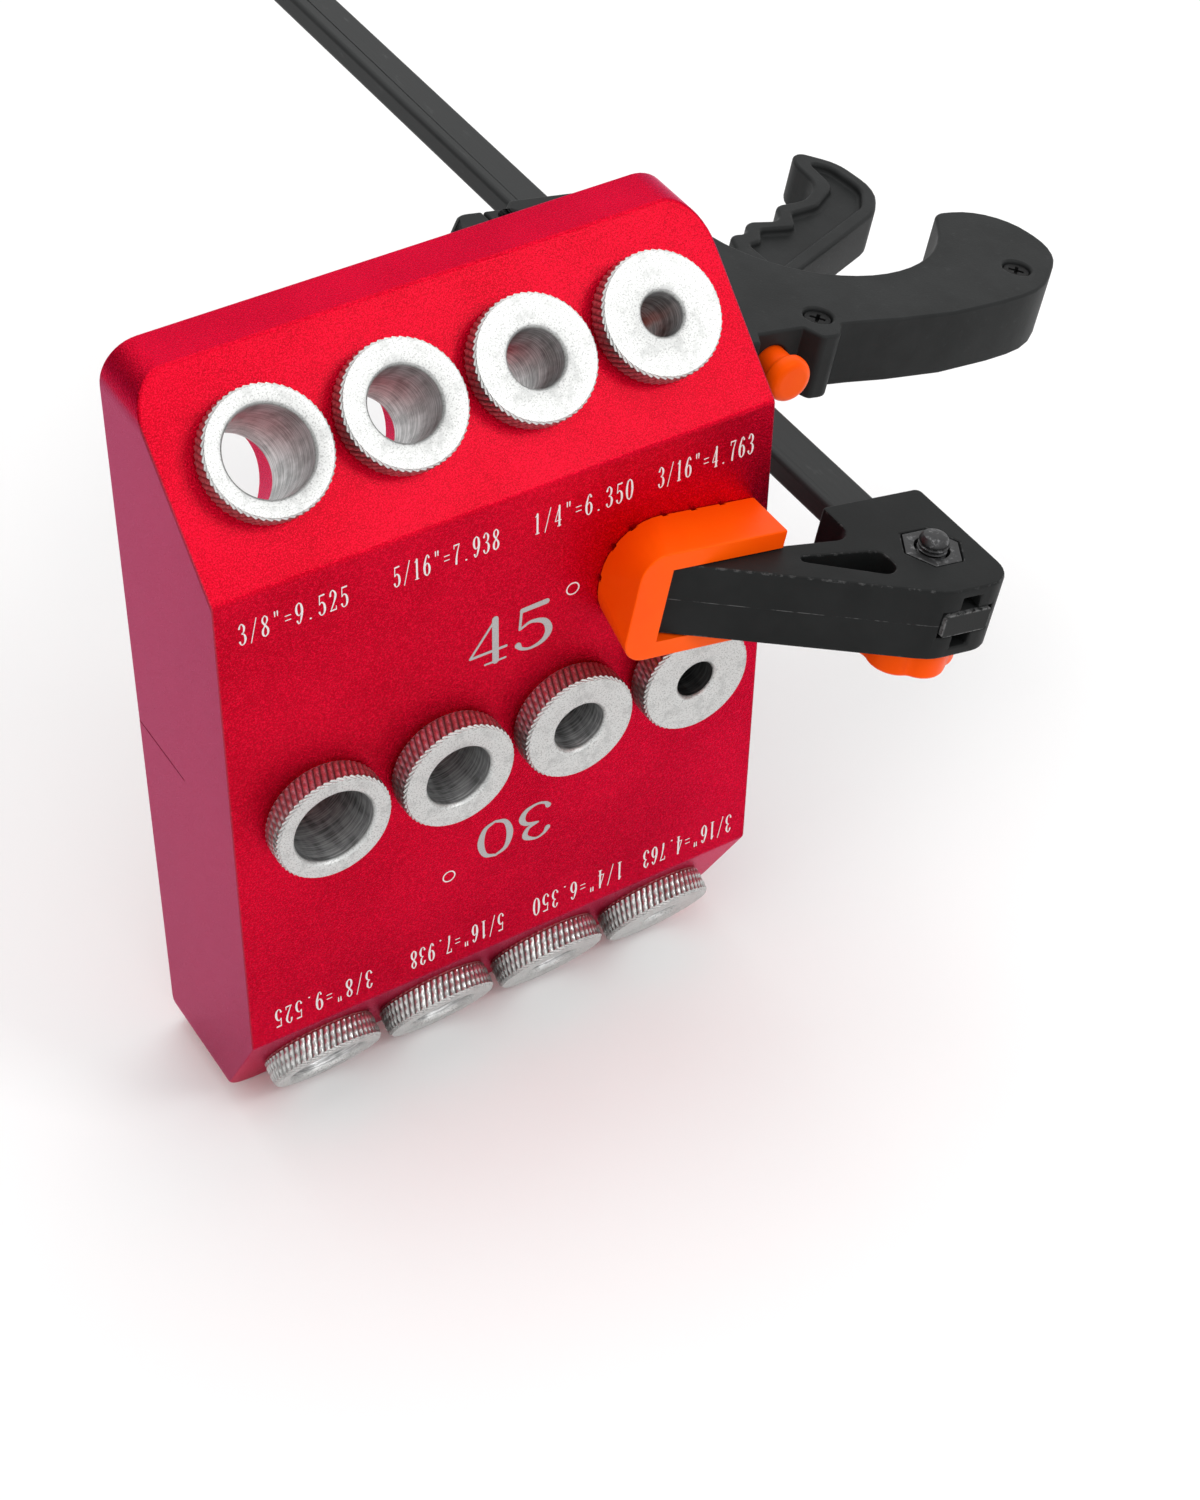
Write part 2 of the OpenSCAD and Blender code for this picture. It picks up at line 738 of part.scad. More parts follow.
module brake_plate() {
    color("silver")
    in_moving()
    translate([brake_pivot_out, brake_pivot_back, 0])
        rotate([0, 0, -brake_tilt])
            difference() {
                union() {
                    translate([0, -plate_t / 2, -plate_h / 2])
                        cube([brake_arm + 2 * hand, plate_t, plate_h]);
                    translate([0, 0, -plate_h / 2])
                        cylinder(d = plate_t, h = plate_h);
                }
                translate([-brake_pivot_out / cos(brake_tilt) - slot_w / 2, -plate_t, -slot_h / 2])
                    cube([slot_w, 2 * plate_t, slot_h]);
            }
}

module brake_spring() {
    start = button_tip + plate_t / cos(brake_tilt)
        + (brake_spring_d / 2 + tip_r) * tan(brake_tilt) + 0.1;
    color("silver")
    in_moving()
    translate([button_out, 0, 0])
        difference() {
            rod_y(brake_spring_d / 2, start, brake_room_back - 0.05);
            rod_y(brake_spring_d / 2 - spring_wire, start - 1, brake_room_back + 1);
        }
}

guide_block();
drill_bushing(row_45, 0);  // bushing_45_three_eighths
drill_bushing(row_45, 1);  // bushing_45_five_sixteenths
drill_bushing(row_45, 2);  // bushing_45_quarter
drill_bushing(row_45, 3);  // bushing_45_three_sixteenths
drill_bushing(row_90, 0);  // bushing_90_three_eighths
drill_bushing(row_90, 1);  // bushing_90_five_sixteenths
drill_bushing(row_90, 2);  // bushing_90_quarter
drill_bushing(row_90, 3);  // bushing_90_three_sixteenths
drill_bushing(row_30, 0);  // bushing_30_three_eighths
drill_bushing(row_30, 1);  // bushing_30_five_sixteenths
drill_bushing(row_30, 2);  // bushing_30_quarter
drill_bushing(row_30, 3);  // bushing_30_three_sixteenths
bar();
bar_stop_pin();
fixed_jaw();
front_pad();
jaw_nut();
jaw_bolt();
jaw_knob();
moving_jaw();
side_cover();
cover_screws();
rear_pad();
trigger();
trigger_pin();
drive_plate();
drive_spring();
release_button();
brake_plate();
brake_spring();
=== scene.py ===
"""Looks of an angle drill guide: a crimson block with steel bushings, held by a small bar clamp."""

import logging
import math
from dataclasses import dataclass, field
from enum import Enum
from typing import Callable, Iterable

import bmesh
import bpy
import numpy as np
from mathutils import Matrix, Vector


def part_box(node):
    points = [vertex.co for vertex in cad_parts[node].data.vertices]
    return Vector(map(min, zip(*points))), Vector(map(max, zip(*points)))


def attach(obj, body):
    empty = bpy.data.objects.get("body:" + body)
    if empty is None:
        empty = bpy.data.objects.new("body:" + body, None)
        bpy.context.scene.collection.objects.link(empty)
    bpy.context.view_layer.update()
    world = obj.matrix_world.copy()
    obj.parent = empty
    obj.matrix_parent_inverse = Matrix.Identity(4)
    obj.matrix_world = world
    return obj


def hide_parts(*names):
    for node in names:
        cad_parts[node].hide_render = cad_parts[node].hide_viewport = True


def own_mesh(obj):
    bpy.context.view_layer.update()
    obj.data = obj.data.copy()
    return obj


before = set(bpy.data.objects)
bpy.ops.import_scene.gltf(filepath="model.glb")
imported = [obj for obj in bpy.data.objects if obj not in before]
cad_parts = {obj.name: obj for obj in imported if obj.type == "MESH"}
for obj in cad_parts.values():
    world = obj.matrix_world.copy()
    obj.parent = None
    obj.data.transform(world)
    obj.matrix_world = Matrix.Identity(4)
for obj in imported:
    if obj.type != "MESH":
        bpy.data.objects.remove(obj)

log = logging.getLogger("drill_guide")
MM = 0.001
HAIR = 0.01 * MM  # two places closer than this are taken as one
X, Y, Z = Vector((1.0, 0.0, 0.0)), Vector((0.0, 1.0, 0.0)), Vector((0.0, 0.0, 1.0))
Pair = tuple[float, float]
Triple = tuple[float, float, float]
Tint = tuple[float, float, float, float]


class Row(Enum):
    """The three rows of bushings, named by their drilling angle."""

    FORTY_FIVE = 45
    NINETY = 90
    THIRTY = 30

    @property
    def tilt(self) -> float:
        """How far the row's bushings point up from level, in degrees."""
        return {Row.FORTY_FIVE: 45.0, Row.NINETY: 0.0, Row.THIRTY: -30.0}[self]


class Bore(Enum):
    """The four bore sizes, with their diameters in millimetres."""

    THREE_EIGHTHS = 9.525
    FIVE_SIXTEENTHS = 7.9375
    QUARTER = 6.35
    THREE_SIXTEENTHS = 4.7625

    @property
    def word(self) -> str:
        """The size as it stands in the nodes' names."""
        return self.name.lower()


# ---------------------------------------------------------------- shader maths


class Value:
    """One output in a material's node tree; an expression on it adds the Math nodes."""

    def __init__(self, graph: "Graph", socket: bpy.types.NodeSocket) -> None:
        """Wraps a socket of a graph."""
        self.graph = graph
        self.socket = socket

    def maths(self, operation: str, *others: "Value | float") -> "Value":
        """Adds a Math node with this value first and the others after it."""
        inputs = dict(enumerate((self, *others)))
        return self.graph.node("ShaderNodeMath", {"operation": operation}, inputs)

    def __add__(self, other: "Value | float") -> "Value":
        """Sum."""
        return self.maths("ADD", other)

    __radd__ = __add__

    def __sub__(self, other: "Value | float") -> "Value":
        """Difference."""
        return self.maths("SUBTRACT", other)

    def __rsub__(self, other: float) -> "Value":
        """Difference with a plain number first."""
        return self.graph.node("ShaderNodeMath", {"operation": "SUBTRACT"}, {0: other, 1: self})

    def __mul__(self, other: "Value | float") -> "Value":
        """Product."""
        return self.maths("MULTIPLY", other)

    __rmul__ = __mul__

    def within(self, centre: float, half: float) -> "Value":
        """One where the value lies within half of centre, else zero."""
        return self.maths("COMPARE", centre, half)

    def between(self, low: float, high: float) -> "Value":
        """Rises smoothly.

        Args:
            low: where it is still zero.
            high: where it reaches one.

        Returns:
            The ramp.
        """
        settings = {"interpolation_type": "SMOOTHSTEP"}
        inputs = {0: self, 1: low, 2: high, 3: 0.0, 4: 1.0}
        return self.graph.node("ShaderNodeMapRange", settings, inputs)


@dataclass(frozen=True)
class Noise:
    """Smooth noise from 0 to 1: its waves per metre, octaves and how strong the fine ones are.

    With a ramp, it rises from zero at the ramp's first value to one at its second.
    """

    waves: float
    octaves: float = 2.0
    fine: float = 0.5
    ramp: Pair | None = None


class Graph:
    """The node tree of one material or of the world."""

    def __init__(self, owner: bpy.types.Material | bpy.types.World) -> None:
        """Empties the owner's tree and starts a new one.

        Args:
            owner: the material or world.
        """
        owner.use_nodes = True
        self.tree = owner.node_tree
        self.tree.nodes.clear()

    def node(
        self,
        kind: str,
        settings: dict | None = None,
        inputs: dict | None = None,
        output: int | str = 0,
    ) -> Value:
        """Adds a node.

        Args:
            kind: the node's type.
            settings: its settings, set first.
            inputs: values or links for its sockets, by name or number.
            output: the output that is returned.

        Returns:
            That output.
        """
        made = self.tree.nodes.new(kind)
        for key, value in (settings or {}).items():
            setattr(made, key, value)
        for key, value in (inputs or {}).items():
            if isinstance(value, Value):
                self.tree.links.new(value.socket, made.inputs[key])
            else:
                made.inputs[key].default_value = value
        return Value(self, made.outputs[output] if made.outputs else None)

    def place(self) -> Value:
        """The point on the object, in metres."""
        return self.node("ShaderNodeTexCoord", output="Object")

    def local(self) -> Value:
        """The point in the piece's own frame, in metres."""
        return self.node("ShaderNodeAttribute", {"attribute_name": "local"}, output="Vector")

    def noise(self, vector: Value, layer: Noise, stretch: Triple | None = None) -> Value:
        """Smooth noise from 0 to 1.

        Args:
            vector: where it is read.
            layer: its size and ramp.
            stretch: how close its waves lie along the three axes; 1 is as they are.

        Returns:
            The noise.
        """
        if stretch:
            vector = self.node("ShaderNodeMapping", inputs={"Vector": vector, "Scale": stretch})
        inputs = {"Scale": layer.waves, "Detail": layer.octaves, "Roughness": layer.fine}
        made = self.node("ShaderNodeTexNoise", inputs={"Vector": vector, **inputs})
        return made.between(*layer.ramp) if layer.ramp else made

    def axes(self, vector: Value) -> tuple[Value, Value, Value]:
        """Splits a vector.

        Args:
            vector: the vector.

        Returns:
            Its three coordinates.
        """
        first = self.node("ShaderNodeSeparateXYZ", inputs={0: vector})
        split = first.socket.node
        return first, Value(self, split.outputs[1]), Value(self, split.outputs[2])

    def mix(self, factor: Value, low: "Tint | Value", high: "Tint | Value") -> Value:
        """A colour between two: a factor of 0 gives low and 1 gives high."""
        settings = {"data_type": "RGBA", "clamp_factor": True}
        return self.node("ShaderNodeMix", settings, {0: factor, 6: low, 7: high}, output=2)

    def bump(self, height: Value, distance: float, strength: float) -> Value:
        """A normal from a height of 0 to 1, which stands for distance in metres."""
        inputs = {"Height": height, "Distance": distance, "Strength": strength}
        return self.node("ShaderNodeBump", inputs=inputs)

    def surface(self, **inputs: "Value | float | Tint") -> None:
        """Ends the tree in a Principled surface.

        Args:
            inputs: values or links by the sockets' names, with _ for a space.
        """
        named = {key.replace("_", " "): value for key, value in inputs.items()}
        shader = self.node("ShaderNodeBsdfPrincipled", inputs=named)
        self.node("ShaderNodeOutputMaterial", inputs={"Surface": shader})


def colour(red: float, green: float, blue: float) -> Tint:
    """A colour with full alpha."""
    return (red, green, blue, 1.0)


def grey(tone: float) -> Tint:
    """A neutral colour."""
    return colour(tone, tone, tone)


# ---------------------------------------------------------------- finishes


@dataclass(frozen=True)
class Finish:
    """A finish that several pieces share; each is made into one material.

    Lengths are in metres and shares run from 0 to 1. relief is the height of the bump, and
    strength is how much of it shows.
    """

    name: str
    slot: str
    metal: float = 0.0
    rough: float = 0.5
    gloss: float = 0.5
    relief: float = 0.03 * MM
    strength: float = 0.5

    def dress(self, graph: Graph) -> None:
        """Builds the material's nodes."""
        raise NotImplementedError

    def paint(
        self, graph: Graph, base: Value, rougher: Value, height: Value | None, **more: float | Tint
    ) -> None:
        """Ends a material's tree in the finish's own surface.

        Args:
            graph: the tree.
            base: the base colour.
            rougher: what is added to the roughness.
            height: the bump from 0 to 1, or None for a plain surface.
            more: further sockets, with _ for a space.
        """
        if height is not None:
            more["Normal"] = graph.bump(height, self.relief, self.strength)
        graph.surface(
            Base_Color=base,
            Metallic=self.metal,
            Roughness=self.rough + rougher,
            Specular_IOR_Level=self.gloss,
            **more,
        )

    def material(self) -> bpy.types.Material:
        """The finish as a material, made once."""
        found = bpy.data.materials.get(self.name)
        if found is None:
            found = bpy.data.materials.new(self.name)
            self.dress(Graph(found))
        return found


@dataclass(frozen=True)
class AnodisedRed(Finish):
    """Aluminium, bead blasted and dyed crimson, with lighter specks of dye painted as glints and
    its two sides painted darker and mauve as painted shade.
    """

    metal: float = 0.97
    rough: float = 0.23
    gloss: float = 0.3
    relief: float = 0.1 * MM
    strength: float = 1.0
    dye: Tint = colour(0.4, 0.0, 0.008)
    # Lighter dye, both for the faint clouds and for the bright specks that are painted glints.
    light_dye: Tint = colour(0.82, 0.005, 0.033)
    # Painted shade: the darker mauve colour of the block's two sides.
    side_dye: Tint = colour(0.3, 0.045, 0.07)
    edge_tint: Tint = colour(1.0, 0.5, 0.75)
    side: Pair = (33.2 * MM, 33.48 * MM)
    side_share: float = 0.85
    grain: Noise = Noise(5200.0, 2.0, 0.6)
    grain_rough: float = 0.12
    # Painted glints: bright specks that lift the base colour.
    spark: Noise = Noise(6800.0, 1.0, 0.5, (0.42, 0.72))
    spark_share: float = 0.75
    cloud: Noise = Noise(60.0, 3.0, 0.5, (0.3, 0.7))
    coat: float = 0.035
    coat_rough: float = 0.2

    def dress(self, graph: Graph) -> None:
        """Fine blasted grain, lighter specks painted as glints, faint clouds of dye, and the sides
        painted darker and mauve as painted shade.

        Args:
            graph: the material's tree.
        """
        place = graph.place()
        # The block's two sides, beyond side, take the darker mauve colour: painted shade.
        shaded_flank = graph.axes(place)[0].maths("ABSOLUTE").between(*self.side)
        grain = graph.noise(place, self.grain)
        spark = graph.noise(place, self.spark)
        cloud = graph.noise(place, self.cloud)
        # The specks are painted glints; the clouds are real variation in the dye.
        shade = spark * self.spark_share + cloud * (1.0 - self.spark_share)
        base = graph.mix(shade, self.dye, self.light_dye)
        base = graph.mix(shaded_flank * self.side_share, base, self.side_dye)
        self.paint(
            graph,
            base,
            grain * self.grain_rough,
            grain,
            Specular_Tint=self.edge_tint,
            Coat_Weight=self.coat,
            Coat_Roughness=self.coat_rough,
        )


@dataclass(frozen=True)
class GroundSteel(Finish):
    """The bushings' pale ground faces and knurled rims, each about its own Z axis."""

    metal: float = 0.92
    rough: float = 0.44
    relief: float = 0.02 * MM
    dark: Tint = colour(0.34, 0.34, 0.335)
    light: Tint = colour(0.62, 0.625, 0.615)
    stained: Tint = colour(0.4, 0.405, 0.4)
    # Painted shade at the bottoms of the knurl's grooves.
    dirt: Tint = colour(0.1, 0.095, 0.09)
    pits: Noise = Noise(5200.0, 2.0, 0.6)
    pit_ramp: Pair = (0.34, 0.5)
    pit_least: float = 0.15
    pit_rough: float = 0.1
    stain: Noise = Noise(520.0, 3.0, 0.6, (0.48, 0.68))
    stain_share: float = 0.5
    groove: Pair = (6.72 * MM, 6.97 * MM)
    rim_radius: float = 6.62 * MM
    rim_middle: float = 1.55 * MM
    rim_half: float = 1.35 * MM
    rim_polish: float = 0.18
    dirt_share: float = 0.8

    def dress(self, graph: Graph) -> None:
        """Pale steel with fine pits; the knurled rim is painted darker in its grooves as painted
        shade.

        Args:
            graph: the material's tree.
        """
        local = graph.local()
        x, y, z = graph.axes(local)
        radius = (x * x + y * y).maths("SQRT")
        pits = graph.noise(local, self.pits)
        stain = graph.noise(local, self.stain)
        groove = 1.0 - radius.between(*self.groove)
        outside = radius.maths("GREATER_THAN", self.rim_radius)
        rim = z.within(self.rim_middle, self.rim_half) * outside
        speck = pits.between(*self.pit_ramp) * (1.0 - self.pit_least) + self.pit_least
        base = graph.mix(speck, self.dark, self.light)
        base = graph.mix(stain * self.stain_share, base, self.stained)
        # Painted shade: the rim darkens towards its grooves' bottoms.
        base = graph.mix(rim * groove * self.dirt_share, base, self.dirt)
        self.paint(graph, base, pits * self.pit_rough - rim * self.rim_polish, pits)


@dataclass(frozen=True)
class BoredSteel(Finish):
    """The bushings' bores, with the tool's rings across the bore's own Z axis."""

    metal: float = 0.85
    rough: float = 0.3
    gloss: float = 0.2
    relief: float = 0.08 * MM
    strength: float = 0.8
    dark: float = 0.2
    light: float = 0.82
    rings: Noise = Noise(5200.0, 3.0, 0.6)
    ring_stretch: Triple = (0.05, 0.05, 1.0)
    ring_ramp: Pair = (0.4, 0.62)
    ring_height: float = 0.8
    smear: Noise = Noise(700.0, 3.0)
    smear_stretch: Triple = (1.0, 1.0, 0.3)
    smear_ramp: Pair = (0.35, 0.65)
    smear_rough: float = 0.14
    fleck: Noise = Noise(3000.0, 3.0, 0.7)
    fleck_height: float = 0.4
    shares: Triple = (0.5, 0.35, 0.15)

    def dress(self, graph: Graph) -> None:
        """Grey steel with turning marks round the bore and scratches across them.

        Args:
            graph: the material's tree.
        """
        local = graph.local()
        rings = graph.noise(local, self.rings, self.ring_stretch)
        smear = graph.noise(local, self.smear, self.smear_stretch)
        fleck = graph.noise(local, self.fleck)
        by_ring, by_smear, by_fleck = self.shares
        marks = rings.between(*self.ring_ramp) * by_ring
        marks = marks + smear.between(*self.smear_ramp) * by_smear + fleck * by_fleck
        base = graph.mix(marks, grey(self.dark), grey(self.light))
        height = rings * self.ring_height + fleck * self.fleck_height
        self.paint(graph, base, smear * self.smear_rough, height)


@dataclass(frozen=True)
class MouldedPlastic(Finish):
    """Moulded plastic with a fine spark-eroded skin."""

    rough: float = 0.46
    gloss: float = 0.12
    tone: Tint = colour(0.0128, 0.0137, 0.0137)
    pale: Tint = colour(0.0226, 0.0238, 0.024)
    shine: Tint = grey(1.0)
    skin: Noise = Noise(3400.0, 3.0, 0.6)
    skin_rough: float = 0.1
    flow: Noise = Noise(110.0, 3.0, 0.6, (0.3, 0.75))
    flow_share: float = 0.7
    rub: Noise = Noise(900.0, 4.0, 0.7, (0.56, 0.78))
    rub_share: float = 0.3
    rub_polish: float = 0.08

    def dress(self, graph: Graph) -> None:
        """Grain in the skin, faint flow clouds in the colour and rubbed spots.

        Args:
            graph: the material's tree.
        """
        place = graph.place()
        skin = graph.noise(place, self.skin)
        flow = graph.noise(place, self.flow)
        rub = graph.noise(place, self.rub)
        base = graph.mix(flow * self.flow_share + rub * self.rub_share, self.tone, self.pale)
        rougher = skin * self.skin_rough - rub * self.rub_polish
        self.paint(graph, base, rougher, skin, Specular_Tint=self.shine)


@dataclass(frozen=True)
class JawPlastic(MouldedPlastic):
    """The fixed jaw's plastic, with the mould's joint line round its middle at z = 0."""

    strength: float = 0.6
    tone: Tint = colour(0.0078, 0.0084, 0.0084)
    pale: Tint = colour(0.0138, 0.0146, 0.0147)
    flow_share: float = 0.8
    skin_height: float = 0.3
    seam_half: float = 0.05 * MM
    seam_break: Noise = Noise(420.0, 3.0, 0.7, (0.42, 0.6))
    seam_tone: float = 0.11
    seam_share: float = 0.7
    edge: float = 4.45 * MM
    edge_half: float = 0.11 * MM
    edge_wear: Noise = Noise(1100.0, 3.0, 0.7, (0.5, 0.68))
    edge_tone: float = 0.09
    edge_share: float = 0.6

    def dress(self, graph: Graph) -> None:
        """Flow clouds, a pale scuffed line along the joint, and edge wear above and below it.

        Args:
            graph: the material's tree.
        """
        place = graph.place()
        height = graph.axes(graph.local())[2]
        skin = graph.noise(place, self.skin)
        seam = height.within(0.0, self.seam_half)
        edge = height.maths("ABSOLUTE").within(self.edge, self.edge_half)
        scuffed = seam * graph.noise(place, self.seam_break) * self.seam_share
        wear_and_highlight = edge * graph.noise(place, self.edge_wear) * self.edge_share
        base = graph.mix(graph.noise(place, self.flow) * self.flow_share, self.tone, self.pale)
        base = graph.mix(scuffed, base, grey(self.seam_tone))
        base = graph.mix(wear_and_highlight, base, grey(self.edge_tone))
        self.paint(graph, base, skin * self.skin_rough, skin * self.skin_height + seam)


@dataclass(frozen=True)
class BrushedBar(Finish):
    """The bar's satin black steel, drawn along its length, with its front end painted dark as
    painted shade and a painted highlight round that end's rim.
    """

    metal: float = 0.35
    rough: float = 0.42
    gloss: float = 0.15
    relief: float = 0.02 * MM
    strength: float = 0.4
    tone: Tint = colour(0.022, 0.023, 0.023)
    pale: Tint = colour(0.052, 0.054, 0.054)
    drawn: Noise = Noise(5200.0, 3.0, 0.6)
    drawn_stretch: Triple = (1.0, 0.02, 1.0)
    drawn_share: float = 0.6
    drawn_rough: float = 0.12
    scuff: Noise = Noise(600.0, 4.0, 0.7, (0.6, 0.75))
    scuff_stretch: Triple = (1.0, 0.3, 1.0)
    scuff_share: float = 0.4
    scuff_polish: float = 0.08
    # The front end: its face painted dark as painted shade, its rim painted bright as a painted
    # highlight.
    cap: float = -19.7 * MM
    cap_tone: float = 0.008
    cap_share: float = 0.7
    rim: float = -19.4 * MM
    rim_wide: Pair = (3.0 * MM, 3.25 * MM)
    rim_thick: Pair = (1.2 * MM, 1.45 * MM)
    rim_wear: Noise = Noise(1500.0, 3.0, 0.7, (0.35, 0.6))
    rim_tone: float = 0.2
    rim_share: float = 0.8

    def dress(self, graph: Graph) -> None:
        """Long fine draw lines, a few scuffs, and the front end's face painted dark as painted
        shade with its rim painted bright as a painted highlight.

        Args:
            graph: the material's tree.
        """
        local = graph.local()
        x, y, z = graph.axes(local)
        wide = x.maths("ABSOLUTE").between(*self.rim_wide)
        thick = z.maths("ABSOLUTE").between(*self.rim_thick)
        # Painted highlight round the front end's rim.
        at_end = wide.maths("MAXIMUM", thick) * y.maths("LESS_THAN", self.rim)
        wear_and_highlight = at_end * graph.noise(local, self.rim_wear)
        drawn = graph.noise(local, self.drawn, self.drawn_stretch)
        scuff = graph.noise(local, self.scuff, self.scuff_stretch)
        shade = drawn * self.drawn_share + scuff * self.scuff_share
        base = graph.mix(shade, self.tone, self.pale)
        # Painted shade on the front end face.
        cap = y.maths("LESS_THAN", self.cap)
        base = graph.mix(cap * self.cap_share, base, grey(self.cap_tone))
        base = graph.mix(wear_and_highlight * self.rim_share, base, grey(self.rim_tone))
        rougher = drawn * self.drawn_rough - scuff * self.scuff_polish
        self.paint(graph, base, rougher, drawn)


@dataclass(frozen=True)
class OxideSteel(Finish):
    """Steel with a thin oxide, rubbed brighter where it is handled."""

    metal: float = 0.85
    rough: float = 0.34
    strength: float = 0.6
    tone: float = 0.05
    bright: float = 0.2
    blue: float = 1.02
    blotch: Noise = Noise(1300.0, 4.0, 0.7)
    rub_ramp: Pair = (0.52, 0.72)
    fine: Noise = Noise(6000.0)
    fine_rough: float = 0.12

    def dress(self, graph: Graph) -> None:
        """Blotches of oxide with rubbed spots.

        Args:
            graph: the material's tree.
        """
        place = graph.place()
        blotch = graph.noise(place, self.blotch)
        fine = graph.noise(place, self.fine)
        low, high = (colour(tone, tone, tone * self.blue) for tone in (self.tone, self.bright))
        base = graph.mix(blotch.between(*self.rub_ramp), low, high)
        self.paint(graph, base, fine * self.fine_rough, blotch)


@dataclass(frozen=True)
class LaserMark(Finish):
    """The pale bare metal that a laser leaves in the dye."""

    metal: float = 0.2
    rough: float = 0.6
    gloss: float = 0.2
    tone: float = 0.8
    dark: Triple = (0.84, 0.82, 0.82)
    light: Triple = (1.1, 1.09, 1.08)
    frost: Noise = Noise(9000.0)
    frost_ramp: Pair = (0.3, 0.7)
    frost_rough: float = 0.1

    def dress(self, graph: Graph) -> None:
        """Pale frosted metal, from dark to light times its tone.

        Args:
            graph: the material's tree.
        """
        frost = graph.noise(graph.place(), self.frost)
        low, high = (colour(*(self.tone * part for part in hue)) for hue in (self.dark, self.light))
        base = graph.mix(frost.between(*self.frost_ramp), low, high)
        self.paint(graph, base, frost * self.frost_rough, None)


RED = AnodisedRed("anodised_red", "block_red")
STEEL = GroundSteel("ground_steel", "bushing_steel")
BORED = BoredSteel("bored_steel", "bushing_steel")
# Darker copies of the same bore steel: painted shade in the middle row's bores, near black in its
# smallest.
SHADED_BORE = BoredSteel("bored_steel_painted_shade", "bushing_steel", metal=0.65, dark=0.1, light=0.52)
DEEPLY_SHADED_BORE = BoredSteel("bored_steel_painted_deep_shade", "bushing_steel", metal=0.3, dark=0.008, light=0.06)
BLACK = MouldedPlastic("moulded_black", "black_plastic")
JAW_BLACK = JawPlastic("jaw_black", "black_plastic")
ORANGE = MouldedPlastic(
    "moulded_orange",
    "orange_plastic",
    rough=0.36,
    gloss=0.3,
    relief=0.02 * MM,
    tone=colour(1.0, 0.08, 0.0),
    pale=colour(1.0, 0.105, 0.0),
    shine=colour(1.0, 0.45, 0.12),
)
BAR_STEEL = BrushedBar("brushed_bar", "bar_steel")
BLACK_STEEL = OxideSteel("black_steel", "black_screw")
SCREW_STEEL = OxideSteel("screw_steel", "black_screw", rough=0.45, tone=0.006, bright=0.022)
BRIGHT_STEEL = OxideSteel("bright_steel", "plain_steel", rough=0.26, tone=0.3, bright=0.6)
MARK = LaserMark("laser_mark", "block_red")
BIG_MARK = LaserMark("laser_mark_wide", "block_red", tone=0.46)


# ---------------------------------------------------------------- modelling


